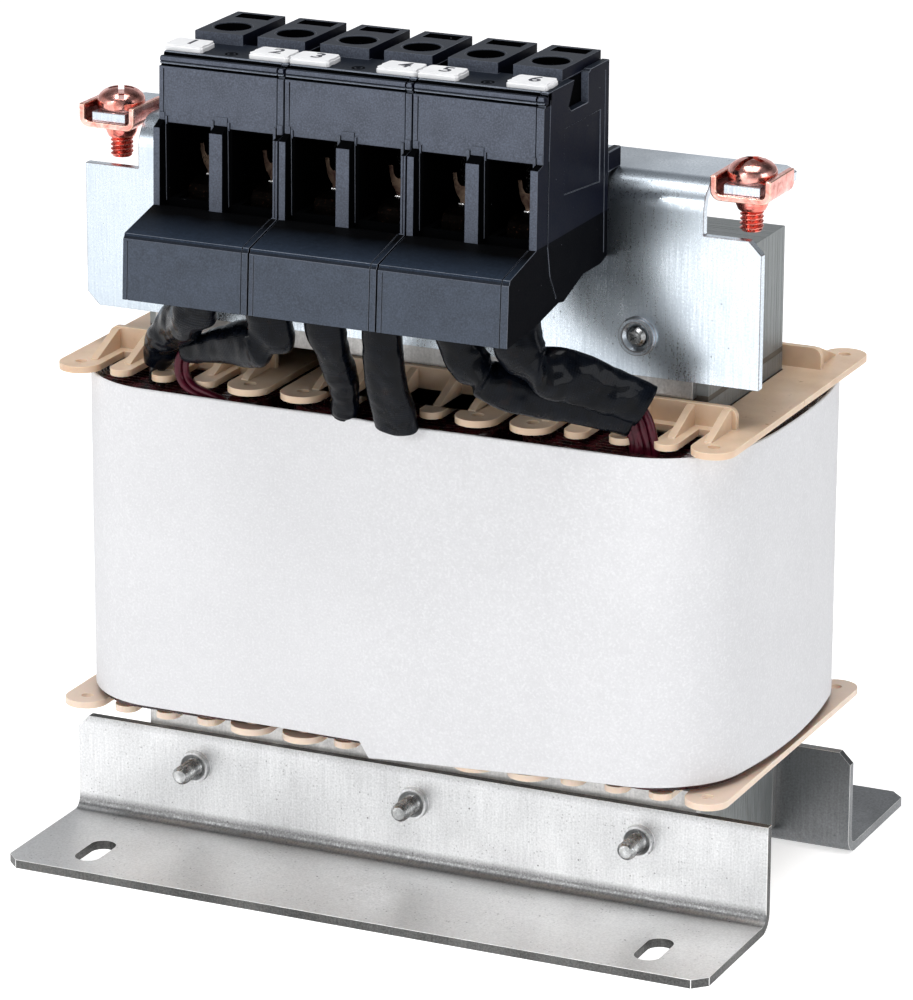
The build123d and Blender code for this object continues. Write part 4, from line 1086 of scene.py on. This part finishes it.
# ----------------------------------------------------------------- marker tags
n = 0
for xc in MOD_C:
    for s in (-1, 1):
        n += 1
        xm = xc - 1.1 + s * 11.9
        w, y0, y1, z0 = 5.5, -67.2, -59.0, DECK
        e = 0.55
        out = [(xm - w + e, y0), (xm + w - e, y0), (xm + w, y0 + 0.7), (xm + w - 0.35, y0 + 2.6), (xm + w, y0 + 3.6), (xm + w - 0.3, y1 - 0.6), (xm + w - e - 0.3, y1),
               (xm - w + e + 0.3, y1), (xm - w + 0.3, y1 - 0.6), (xm - w, y0 + 3.6), (xm - w + 0.35, y0 + 2.6), (xm - w, y0 + 0.7)]
        body = prism("t", out, z0, z0 + 1.05, [TAG, TAG], plane="xy")
        inner = [(xm + (x - xm) * 0.965, (y0 + y1) / 2 + (y - (y0 + y1) / 2) * 0.94) for x, y in out]
        top = prism("t", inner, z0 + 0.9, z0 + 1.6, [TAG, TAG], plane="xy")
        bevelled(body, 0.07, 2, 30)
        bevelled(top, 0.07, 2, 30)
        t = joined([body, top], "tag_%d" % n)
        piece(t, "tag_white", "marker_tag_%d" % n)
        cu = bpy.data.curves.new("digit", "FONT")
        cu.body = str(n)
        cu.size = 6.8 * MM
        cu.offset = 0.10 * MM
        cu.extrude = 0.03 * MM
        cu.align_x = "CENTER"
        cu.align_y = "CENTER"
        fo = bpy.data.objects.new("digit", cu)
        bpy.context.scene.collection.objects.link(fo)
        bpy.context.view_layer.update()
        me = bpy.data.meshes.new_from_object(fo.evaluated_get(bpy.context.evaluated_depsgraph_get()))
        bpy.data.objects.remove(fo)
        me.transform(Matrix.Translation(P(xm + 0.6, -62.7, z0 + 1.6)))
        me.materials.clear()
        me.materials.append(INK)
        do = bpy.data.objects.new("tag_digit_%d" % n, me)
        bpy.context.scene.collection.objects.link(do)
        piece(do, "tag_white")

# ---------------------------------------------------------------- coil formers
PITCH = 64.4
for nm, i in (("left", -1), ("middle", 0), ("right", 1)):
    f = soft_copy("coil_former_" + nm, "former_moulding_" + nm, [NYLON, NYLON_E], 0.5, 3, 34)
    piece(f, "former_nylon", "coil_former_" + nm)


# ------------------------------------------------------------------- windings
def loop_point(t, a, wi, di, ri, wo, do, ro):
    """A point at angle a on the loop a share t of the way from the inner to the
    outer outline; both outlines are rounded rectangles."""
    def rr(w, d, r):
        c, s = math.cos(a), math.sin(a)
        # superellipse close to the rounded rectangle
        k = 2.0 + 2.2 * min(w, d) / max(r, 0.5) * 0.55
        q = (abs(c / w) ** k + abs(s / d) ** k) ** (-1.0 / k)
        return q * c, q * s
    xi, yi = rr(wi, di, ri)
    xo, yo = rr(wo, do, ro)
    return xi + (xo - xi) * t, yi + (yo - yi) * t


def winding(name, xc, side):
    n, turns, per = 128, 11, 6
    prof = []
    for k in range(turns * per + 1):
        t = k / (turns * per)
        ph = (k % per) / per
        bump = math.sqrt(max(0.0, 1 - (2 * ph - 1) ** 2)) if k < turns * per else 0.0
        prof.append((t, 128.6 + 1.15 * bump))
    prof += [(1.0, 118.0), (1.0, 60.0), (1.0, 44.0)]
    for k in range(turns * per, -1, -2):
        t = k / (turns * per)
        ph = (k % per) / per
        prof.append((t, 42.6 - 0.9 * math.sqrt(max(0.0, 1 - (2 * ph - 1) ** 2))))
    v = []
    for t, z in prof:
        for j in range(n):
            a = 2 * math.pi * j / n
            x, y = loop_point(t, a, 16.7, 27.5, 3.0, 31.2, 51.2, 11.0)
            w = 0.35 * nz(x + xc, y, z, 14.0, 3) if t > 0.02 and z > 100 else 0.0
            x2 = xc + x
            # the outer coils end inside the wrap's bowed ends and round corners
            ax, ay = abs(x2), abs(y)
            ax = min(ax, -84.5 + math.sqrt(178.6 ** 2 - ay * ay))
            if ax > 68.0 and ay > 27.6:
                d = math.hypot(ax - 68.0, ay - 27.6)
                if d > 23.6:
                    ax, ay = 68.0 + (ax - 68.0) * 23.6 / d, 27.6 + (ay - 27.6) * 23.6 / d
            x2, y = math.copysign(ax, x2), math.copysign(ay, y)
            v.append((x2, y, z + min(0.0, w)))
    f = grid_faces(len(prof), n)
    last = (len(prof) - 1) * n
    f += [(last + j, last + (j + 1) % n, (j + 1) % n, j) for j in range(n)]
    return outward(make(name, v, f, [WOUND], sharp=70))


for nm, i in (("left", -1), ("middle", 0), ("right", 1)):
    piece(winding("coil_turns_" + nm, i * PITCH, i), "winding_copper", "winding_" + nm)


# ---------------------------------------------------------------- paper wrap
def outline(off, n):
    """Points on the wrap's plan outline, drawn in by off; it
    starts in the middle of the front and runs towards +X."""
    hw, hd, re, rc = 95.5 - off, 52.6 - off, 180.0 - off, 25.0 - off
    ex, cy = hw - re, hd - rc
    cx = ex + math.sqrt((re - rc) ** 2 - cy ** 2)
    d = re - rc
    tx, ty = ex + re * (cx - ex) / d, re * cy / d
    a1 = math.atan2(ty - cy, tx - cx)          # end of the corner arc
    pts = []
    def arc(x, y, r, s, e, k):
        return [(x + r * math.cos(s + (e - s) * i / k), y + r * math.sin(s + (e - s) * i / k)) for i in range(k)]
    q = []
    q += [(cx * i / 24, -hd) for i in range(24)]
    q += arc(cx, -cy, rc, -math.pi / 2, -a1, 30)
    be = math.atan2(ty, tx - ex)
    q += arc(ex, 0, re, -be, be, 24)
    q += arc(cx, cy, rc, a1, math.pi / 2, 30)
    q += [(cx - 2 * cx * i / 48, hd) for i in range(48)]
    q += arc(-cx, cy, rc, math.pi / 2, math.pi - a1, 30)
    q += arc(-ex, 0, re, math.pi - be, math.pi + be, 24)
    q += arc(-cx, -cy, rc, math.pi + a1, 1.5 * math.pi, 30)
    q += [(-cx + cx * i / 24, -hd) for i in range(24)]
    return q


OUT = outline(0.0, 0)
NRM = []
for i in range(len(OUT)):
    a, b = OUT[i - 1], OUT[(i + 1) % len(OUT)]
    tx, ty = b[0] - a[0], b[1] - a[1]
    L = math.hypot(tx, ty)
    NRM.append((ty / L, -tx / L))
RUN = [0.0]
for i in range(1, len(OUT)):
    RUN.append(RUN[-1] + math.hypot(OUT[i][0] - OUT[i - 1][0], OUT[i][1] - OUT[i - 1][1]))
PERIM = RUN[-1] + math.hypot(OUT[0][0] - OUT[-1][0], OUT[0][1] - OUT[-1][1])


def wrap_sheet():
    """The wrap: a thin shell whose outer turn ends on the front, its lower edge
    hanging a little lower from there on."""
    n = len(OUT)
    # rings from the inner top, over the rim, down the outside and back up inside
    zt, zb = 130.4, 43.0
    ring_def = []
    for k in range(5):
        ring_def.append((0.78 - 0.39 * (1 - math.cos(math.pi * k / 4)) / 1.0, zt - 0.34 * (1 - math.sin(math.pi * k / 4))))
    ring_def += [(0.0, zt - 0.6), (0.0, zt - 1.4)]
    body = [zt - 3 - (zt - zb - 6) * k / 26 for k in range(27)]
    ring_def += [(0.0, z) for z in body]
    ring_def += [(0.0, zb + 1.4), (0.0, zb + 0.4)]
    for k in range(5):
        ring_def.append((0.39 * (1 - math.cos(math.pi * k / 4)), zb + 0.3 * (1 - math.sin(math.pi * k / 4))))
    ring_def += [(0.78, zb + 6), (0.78, 90.0), (0.78, zt - 6)]
    v = []
    end_s = PERIM - 4.5                 # the outer turn's end, on the front left of the middle
    for off, z in ring_def:
        for i in range(n):
            x, y = OUT[i]
            nx, ny = NRM[i]
            s = RUN[i]
            # soft waves of the taut paper, always inwards
            w = 0.10 + 0.10 * nz(s, 0, z, 46.0, 1) + 0.05 * nz(s, 5, z, 17.0, 2)
            # the outer turn starts 0.28 mm proud and thins out round the coil
            past = (s - end_s) % PERIM
            step = 0.26 * max(0.0, 1 - past / (PERIM * 0.82))
            inset = 0.26 - step
            zz = z
            low = 0.0
            if z < 70:
                low = 4.2 * (1 - past / 90.0) ** 1.3 if past < 90 else 0.0
                zz = z + (1.9 - low) * max(0.0, (70 - z) / 27.0) * 0.0 - low * max(0.0, (70 - z) / 27.0)
                zz += 0.25 * nz(s, 1, 0, 30.0, 4) * (70 - z) / 27.0
            if z > 120:
                zz -= (0.22 + 0.3 * nz(s, 3, 0, 26.0, 5)) * (z - 120) / 10.4
            off2 = off + (w + inset) * (1.0 if off < 0.4 else 0.25)
            v.append((x - nx * off2, y - ny * off2, max(zz, 38.7)))
    rows = len(ring_def)
    f = grid_faces(rows, n)
    last = (rows - 1) * n
    f += [(last + j, last + (j + 1) % n, (j + 1) % n, j) for j in range(n)]
    return outward(make("paper_wrap", v, f, [PAPER], sharp=60))


WRAP = piece(wrap_sheet(), "wrap_paper", "outer_wrap")


def film_strip():
    """Crinkled black film between the coils and the paper, just below its rim."""
    n = len(OUT)
    offs = [0.85, 1.2, 1.8, 2.5, 3.2, 3.9, 4.6]
    v = []
    for k, off in enumerate(offs):
        for i in range(n):
            x, y = OUT[i]
            nx, ny = NRM[i]
            s = RUN[i]
            lift = [129.3, 129.7, 129.6, 129.3, 129.2, 128.9, 128.3][k]
            z = lift + 0.5 * nz(s, off * 3, 0, 5.0, 7) + 0.35 * nz(s, off * 5, 3, 2.2, 8)
            o2 = off + 0.35 * nz(s, off, 9, 6.0, 9) * (k > 0)
            v.append((x - nx * o2, y - ny * o2, min(z, 130.1)))
    for i in range(n):
        x, y = OUT[i]
        nx, ny = NRM[i]
        v.append((x - nx * 4.6, y - ny * 4.6, 126.0))
    for i in range(n):
        x, y = OUT[i]
        nx, ny = NRM[i]
        v.append((x - nx * 0.85, y - ny * 0.85, 126.0))
    rows = len(offs) + 2
    f = grid_faces(rows, n)
    last = (rows - 1) * n
    f += [(last + j, last + (j + 1) % n, (j + 1) % n, j) for j in range(n)]
    return outward(make("black_film_edge", v, f, [FILM], sharp=60))


piece(film_strip(), "winding_copper")


# ---------------------------------------------------------------------- leads
def sleeve(name, rows, seed, n=150, c=64, wrinkle=1.0, braid=None, cut_dir=None, open_end=True, power=2.35):
    """A flattened, varnished braided sleeve along the smooth line of the control
    rows (x, y, z, half width, half thickness, width direction)."""
    pts = bspline([list(r[:5]) + list(r[5]) for r in rows], n)
    pos = pts[:, :3]
    tan = np.gradient(pos, axis=0)
    tan /= np.linalg.norm(tan, axis=1)[:, None]
    seg = np.linalg.norm(np.diff(pos, axis=0), axis=1)
    run = np.concatenate([[0], np.cumsum(seg)])
    kv = np.gradient(tan, axis=0) / np.maximum(np.gradient(run), 1e-6)[:, None]
    verts, tone, vv = [], [], []
    for i in range(n + 1):
        t = tan[i]
        w = pts[i, 5:8]
        w = w - t * np.dot(w, t)
        w /= np.linalg.norm(w)
        b = np.cross(t, w)
        a_, b_ = pts[i, 3], pts[i, 4]
        s = run[i]
        curv = kv[i]
        cl = np.linalg.norm(curv)
        for j in range(c):
            th = 2 * math.pi * j / c
            ct, st = math.cos(th), math.sin(th)
            q = (abs(ct) ** power + abs(st) ** power) ** (-1 / power)
            du, dv = q * ct * a_, q * st * b_
            p = pos[i] + w * du + b * dv
            out = w * (ct / a_) + b * (st / b_)
            out /= np.linalg.norm(out)
            # folds gather on the inside of a bend
            inner = max(0.0, float(np.dot(out, curv)))
            wander = s * 1.55 + 3.2 * nz(s, math.cos(th) * 4, math.sin(th) * 4, 7.0, seed)
            fold = math.sin(wander) * max(0.0, 0.5 + 0.9 * nz(s, th * 2, 4, 5.0, seed + 3)) * (0.10 + min(1.0, inner * 14) * 0.8) * wrinkle * min(1.0, 0.2 + cl * 18)
            lump = 0.62 * nz(*p, 8.0, seed) + 0.26 * nz(*p, 3.4, seed + 1)
            d = 0.32 * fold + lump * wrinkle
            p = p + out * d
            if cut_dir is not None:
                pass
            verts.append(tuple(p))
            tone.append(0.0 if braid is None else float(braid(s / run[-1], th)))
        vv.append(s)
    faces = grid_faces(n + 1, c)
    uvs = []
    for i in range(n):
        for j in range(c):
            uvs.append(((j / c, vv[i]), ((j + 1) / c, vv[i]), ((j + 1) / c, vv[i + 1]), (j / c, vv[i + 1])))
    # close the top inside the module; roll the cut end inwards
    faces.append(tuple(reversed(range(c))))
    uvs.append([(0, 0)] * c)
    base = n * c
    last = np.array(verts[base:base + c])
    cen = last.mean(0)
    t = tan[-1]
    k = base
    for sc, back in ((0.93, -0.15), (0.84, 0.3), (0.78, 3.0), (0.70, 6.0)):
        ringp = cen + (last - cen) * sc - t * back
        for p in ringp:
            verts.append(tuple(p))
            tone.append(0.0)
        for j in range(c):
            q = (j + 1) % c
            faces.append((k + j, k + q, k + c + q, k + c + j))
            uvs.append(((j / c, 0), ((j + 1) / c, 0), ((j + 1) / c, 1), (j / c, 1)))
        k += c
    faces.append(tuple(range(k, k + c)))
    uvs.append([(0, 0)] * c)
    return outward(make(name, verts, faces, [SLEEVE], uvs=uvs, tone=tone, sharp=75))


def wire(name, pts, r=1.05, n=60, c=18, mats=None):
    p = bspline(pts, n)
    tan = np.gradient(p, axis=0)
    tan /= np.linalg.norm(tan, axis=1)[:, None]
    v = []
    up = np.array([0.2, 0.3, 0.93])
    for i in range(n + 1):
        t = tan[i]
        w = np.cross(t, up)
        w /= np.linalg.norm(w)
        b = np.cross(t, w)
        for j in range(c):
            a = 2 * math.pi * j / c
            rr = r * (1 + 0.04 * nz(*p[i], 3.0, 5))
            v.append(tuple(p[i] + (w * math.cos(a) + b * math.sin(a)) * rr))
    f = grid_faces(n + 1, c)
    f.append(tuple(reversed(range(c))))
    f.append(tuple(range(n * c, (n + 1) * c)))
    return outward(make(name, v, f, mats or [ENAMEL], sharp=60))


X_, Y_, Z_ = (1, 0, 0), (0, 1, 0), (0, 0, 1)
TX = [xc + s * TERM_DX for xc in MOD_C for s in (-1, 1)]
LEADS = {
    1: dict(rows=[(TX[0], -67.6, 177, 5.0, 3.6, X_), (TX[0], -67.6, 168, 5.5, 3.7, X_), (-43.9, -66.8, 160.5, 5.6, 3.8, (1, 0, .1)), (-46.6, -63.2, 154.4, 5.4, 4.0, (.9, -.2, .5)),
                  (-54.0, -54.0, 151.4, 6.2, 4.8, (.45, -.3, 1)), (-61.2, -48.0, 146.6, 5.9, 5.2, (.65, -.1, 1)), (-65.8, -45.4, 140.6, 4.9, 4.4, (1, -.1, .7)), (-67.6, -44.0, 135.4, 3.6, 3.2, (1, 0, .4))],
            seed=1, braid=lambda q, th: 0.8 if q < 0.36 else max(0.0, 0.8 - (q - 0.36) * 8), wrinkle=1.3),
    2: dict(rows=[(TX[1], -67.6, 177, 5.0, 3.6, X_), (TX[1], -67.6, 168, 5.8, 3.6, X_), (-22.6, -67.6, 158, 6.3, 3.7, (1, 0, 0)), (-23.2, -65.6, 152.0, 6.2, 4.0, (.95, -.1, .25)),
                  (-30.2, -61.6, 149.8, 6.6, 4.0, (.4, -.2, 1)), (-38.0, -57.6, 147.4, 5.5, 3.8, (.2, -.1, 1)), (-46.0, -53.8, 144.8, 4.3, 3.5, (.15, -.1, 1)), (-51.9, -51.0, 142.6, 3.4, 3.1, (.1, 0, 1)), (-55.6, -49.6, 141.3, 2.9, 2.8, (.1, 0, 1))],
            seed=2, braid=lambda q, th: 0.30, wrinkle=1.0),
    3: dict(rows=[(TX[2], -67.6, 177, 5.0, 3.6, X_), (TX[2], -67.6, 168, 5.6, 3.5, X_), (-8.0, -67.4, 158, 5.5, 3.4, (1, 0, 0)), (-6.9, -64.4, 150.6, 4.6, 3.4, (1, .05, 0)),
                  (-7.2, -59.2, 143.8, 3.9, 3.3, (1, .1, 0)), (-8.4, -54.4, 137.6, 3.6, 3.2, (1, .1, 0)), (-10.2, -50.8, 132.4, 4.0, 3.3, (1, 0, 0)), (-10.6, -49.8, 130.4, 3.6, 3.0, (1, 0, 0))],
            seed=3, braid=lambda q, th: 0.25 * (q < 0.6), wrinkle=1.0),
    4: dict(rows=[(TX[3], -67.6, 177, 5.0, 3.6, X_), (TX[3], -67.6, 168, 5.4, 3.6, X_), (7.5, -67.2, 158, 5.3, 3.6, (1, 0, 0)), (7.4, -64.6, 148, 5.3, 3.5, (1, 0, 0)),
                  (7.0, -59.8, 139.5, 5.7, 3.5, (1, 0, 0)), (6.3, -56.4, 133.2, 6.1, 3.3, (1, 0, 0)), (6.1, -54.9, 130.7, 6.0, 2.9, (1, 0, 0))],
            seed=4, braid=lambda q, th: 0.15 + 0.25 * (q > 0.8), wrinkle=0.9),
    5: dict(rows=[(TX[4], -67.6, 177, 5.0, 3.6, X_), (TX[4], -67.6, 168, 5.7, 3.6, X_), (28.6, -67.4, 159.4, 5.8, 3.6, (1, 0, 0)), (31.6, -66.0, 152.0, 5.6, 3.7, (.95, .1, -.25)),
                  (37.6, -63.2, 147.2, 5.4, 3.7, (.4, .2, -1)), (45.2, -60.4, 145.0, 5.0, 3.7, (.1, .1, -1)), (53.0, -56.6, 143.4, 4.6, 3.5, (.1, .1, -1)), (61.0, -51.6, 140.4, 4.4, 3.2, (.15, .1, -1)), (67.4, -47.8, 137.8, 3.9, 2.9, (.15, .1, -1))],
            seed=5, braid=lambda q, th: 0.3, wrinkle=1.1),
    6: dict(rows=[(TX[5], -67.6, 177, 5.0, 3.6, X_), (TX[5], -67.6, 168, 6.0, 3.6, X_), (45.2, -68.2, 160, 6.6, 3.6, (1, 0, 0)), (47.8, -67.2, 154.6, 6.8, 3.7, (.9, .1, -.4)),
                  (54.4, -61.0, 151.6, 6.7, 3.6, (.4, .2, -1)), (61.6, -54.4, 148.2, 6.4, 3.3, (.2, .1, -1)), (67.6, -49.4, 144.6, 6.0, 2.8, (.16, .1, -1)), (71.0, -47.2, 142.2, 5.7, 2.5, (.16, .1, -1))],
            seed=6, braid=lambda q, th: 0.25, wrinkle=1.15),
}
WIRES = {
    1: [[(-66.2, -45.2, 140.4), (-68.2, -44.6, 136.2), (-68.8, -44.2, 132.6), (-69.0, -44.0, 129.2)],
        [(-65.6, -44.2, 140.0), (-67.2, -43.4, 136.0), (-67.6, -42.8, 132.6), (-67.6, -42.6, 129.2)],
        [(-64.8, -44.6, 140.2), (-66.0, -44.4, 136.2), (-66.4, -44.2, 132.6), (-66.4, -44.2, 129.2)]],
    2: [[(-50.5, -50.6, 142.9), (-54.0, -50.5, 143.0), (-57.6, -50.8, 141.0), (-58.0, -51.0, 136.6), (-57.0, -50.9, 132.4), (-53.6, -50.4, 130.6), (-50.8, -49.6, 129.0)],
        [(-49.5, -50.0, 141.6), (-52.6, -50.0, 142.6), (-55.8, -50.0, 140.6), (-56.6, -50.0, 136.4), (-55.2, -50.0, 132.4), (-50.8, -49.9, 131.0), (-46.8, -49.4, 129.6), (-44.6, -49.0, 128.6)]],
    3: [[(-11, -51.5, 139), (-11.2, -49.6, 135.5), (-11.4, -48.6, 132.0), (-11.4, -48.4, 129.0)],
        [(-9.6, -51.5, 139), (-9.4, -49.6, 135.5), (-9.2, -48.6, 132.0), (-9.2, -48.4, 129.0)],
        [(-10.2, -50.5, 139), (-10.2, -47.8, 135.5), (-10.2, -46.8, 132.0), (-10.2, -46.6, 129.0)]],
    4: [[(3.2, -57.5, 136), (3.4, -54.6, 132.6), (3.6, -51.4, 131.6), (3.8, -49.2, 130.8), (3.8, -48.6, 128.6)],
        [(6.0, -57.5, 136), (6.0, -54.8, 132.6), (6.0, -51.6, 131.6), (6.0, -49.2, 130.8), (6.0, -48.6, 128.6)],
        [(8.8, -57.5, 136), (8.6, -54.6, 132.6), (8.4, -51.4, 131.6), (8.2, -49.2, 130.8), (8.2, -48.6, 128.6)]],
    5: [[(62.0, -50.6, 140.6), (66.0, -48.2, 139.0), (68.2, -46.9, 136.0), (68.8, -46.7, 132.4), (69.0, -46.7, 129.0)],
        [(62.0, -50.8, 139.2), (65.4, -48.6, 138.0), (67.2, -47.2, 135.0), (67.7, -46.9, 132.0), (67.8, -46.7, 129.0)],
        [(62.0, -49.8, 139.8), (65.6, -47.4, 138.6), (67.8, -45.8, 135.4), (68.4, -45.2, 132.0), (68.5, -45.0, 129.0)]],
    6: [[(65.5, -48.2, 144.4), (68.6, -47.4, 143.2), (71.2, -46.9, 140.6), (72.8, -46.9, 136.6), (73.6, -46.7, 132.4), (73.8, -46.2, 128.8)],
        [(65.0, -48.2, 142.6), (67.8, -47.4, 141.4), (69.9, -46.9, 138.6), (71.0, -46.9, 135.0), (71.7, -46.7, 132.0), (71.9, -46.3, 128.8)],
        [(64.5, -48.4, 141.0), (66.8, -47.5, 139.6), (68.5, -46.8, 136.8), (69.4, -46.7, 133.6), (70.0, -46.5, 131.0), (70.2, -46.1, 128.8)]],
}
for k, d in LEADS.items():
    piece(sleeve("sleeve_%d" % k, d["rows"], d["seed"], braid=d["braid"], wrinkle=d["wrinkle"]), "sleeve_varnished", "lead_sleeve_%d" % k)
    ws = [wire("w", w, 1.05, mats=[FILM] if k in (1, 3) else None) for w in WIRES[k]]
    piece(joined(ws, "wires_%d" % k), "wire_enamel", "lead_wires_%d" % k)

# ------------------------------------------------------------ floor and lights
floor = make("floor", [(-6000, -6000, -0.05), (6000, -6000, -0.05), (6000, 6000, -0.05), (-6000, 6000, -0.05)], [(0, 1, 2, 3)])
fm = Mat("pale_floor")
fc = fm.noise(180.0, 3, 0.5)
fm.set(color=fm.mix(fm.range(fc, 0.3, 0.7, 0.0, 1.0), (0.90, 0.90, 0.90), (0.93, 0.93, 0.93)), rough=0.85, spec=0.1, emit_color=(1, 1, 1), emit=0.58)
floor.data.materials.append(fm.m)

world = bpy.data.worlds.new("studio")
bpy.context.scene.world = world
world.use_nodes = True
wn = world.node_tree
wn.nodes.clear()
wo = wn.nodes.new("ShaderNodeOutputWorld")
wb = wn.nodes.new("ShaderNodeBackground")
wc = wn.nodes.new("ShaderNodeTexCoord")
ws_ = wn.nodes.new("ShaderNodeSeparateXYZ")
wr = wn.nodes.new("ShaderNodeValToRGB")
wn.links.new(wc.outputs["Generated"], ws_.inputs[0])
wn.links.new(ws_.outputs[2], wr.inputs[0])
wn.links.new(wr.outputs[0], wb.inputs[0])
wn.links.new(wb.outputs[0], wo.inputs[0])
el = wr.color_ramp.elements
el[0].position, el[0].color = 0.0, (0.97, 0.98, 1.0, 1)
el[1].position, el[1].color = 1.0, (0.30, 0.31, 0.33, 1)
for pos_, c_ in ((0.36, (0.92, 0.94, 0.97, 1)), (0.60, (0.22, 0.23, 0.25, 1))):
    e = el.new(pos_)
    e.color = c_
# bright and dark sides round the studio, as between soft boxes and black cards
wg = wn.nodes.new("ShaderNodeTexGradient")
wg.gradient_type = "RADIAL"
wa = wn.nodes.new("ShaderNodeValToRGB")
wm = wn.nodes.new("ShaderNodeMix")
wm.data_type = "RGBA"
wm.blend_type = "MULTIPLY"
wm.inputs[0].default_value = 1.0
wn.links.new(wc.outputs["Generated"], wg.inputs[0])
wn.links.new(wg.outputs[1], wa.inputs[0])
wn.links.new(wr.outputs[0], wm.inputs[6])
wn.links.new(wa.outputs[0], wm.inputs[7])
wn.links.new(wm.outputs[2], wb.inputs[0])
stops = [(0.0, 0.8), (0.08, 1.0), (0.25, 1.0), (0.32, 0.45), (0.41, 0.30), (0.47, 0.95), (0.55, 0.85), (0.61, 0.25), (0.69, 0.28), (0.76, 1.0), (0.90, 1.0), (0.95, 0.55)]
el = wa.color_ramp.elements
while len(el) < len(stops):
    el.new(0.5)
for e, (pos_, c_) in zip(el, stops):
    e.position = pos_
    e.color = (c_, c_, c_, 1)
wb.inputs[1].default_value = 0.78


def area(name, loc, target, size, power, color=(1, 1, 1), size_y=None):
    li = bpy.data.lights.new(name, "AREA")
    li.shape = "RECTANGLE"
    li.size = size
    li.size_y = size_y or size
    li.energy = power
    li.color = color
    o = bpy.data.objects.new(name, li)
    o.location = loc
    d = Vector(target) - Vector(loc)
    o.rotation_mode = "QUATERNION"
    o.rotation_quaternion = d.to_track_quat("-Z", "Y")
    bpy.context.scene.collection.objects.link(o)
    return o


area("key", (-0.85, -1.75, 0.46), (0, 0, 0.12), 1.5, 5.6, (1.0, 0.995, 0.985), 0.8)
area("spark", (-0.55, -1.70, 0.95), (0, 0, 0.14), 0.14, 4.6, (1.0, 1.0, 1.0))
area("side", (1.9, -0.45, 0.60), (0, 0, 0.10), 0.9, 6.5, (0.97, 0.98, 1.0))
area("top", (0.1, -0.35, 1.7), (0, 0, 0.1), 1.2, 22.0, (1.0, 1.0, 1.0))

# --------------------------------------------------------------------- camera
cam = bpy.data.cameras.new("camera")
co = bpy.data.objects.new("camera", cam)
bpy.context.scene.collection.objects.link(co)
R = Vector((0.90955, 0.41556, 0.00413))
U = Vector((-0.12870, 0.27222, 0.95359))
B = Vector((0.39516, -0.86787, 0.30108))
B.normalize()
R = (R - B * R.dot(B)).normalized()
U = B.cross(R)
co.matrix_world = Matrix(((R.x, U.x, B.x, 0.5644), (R.y, U.y, B.y, -1.23005), (R.z, U.z, B.z, 0.5305), (0, 0, 0, 1)))
cam.sensor_width = 36.0
cam.lens = 195.0
cam.shift_x = -0.00717
cam.shift_y = -0.02244
cam.clip_start, cam.clip_end = 0.05, 50.0
bpy.context.scene.camera = co

vs = bpy.context.scene.view_settings
vs.view_transform = "Standard"
vs.look = "None"
vs.exposure = 0.0
vs.gamma = 1.0
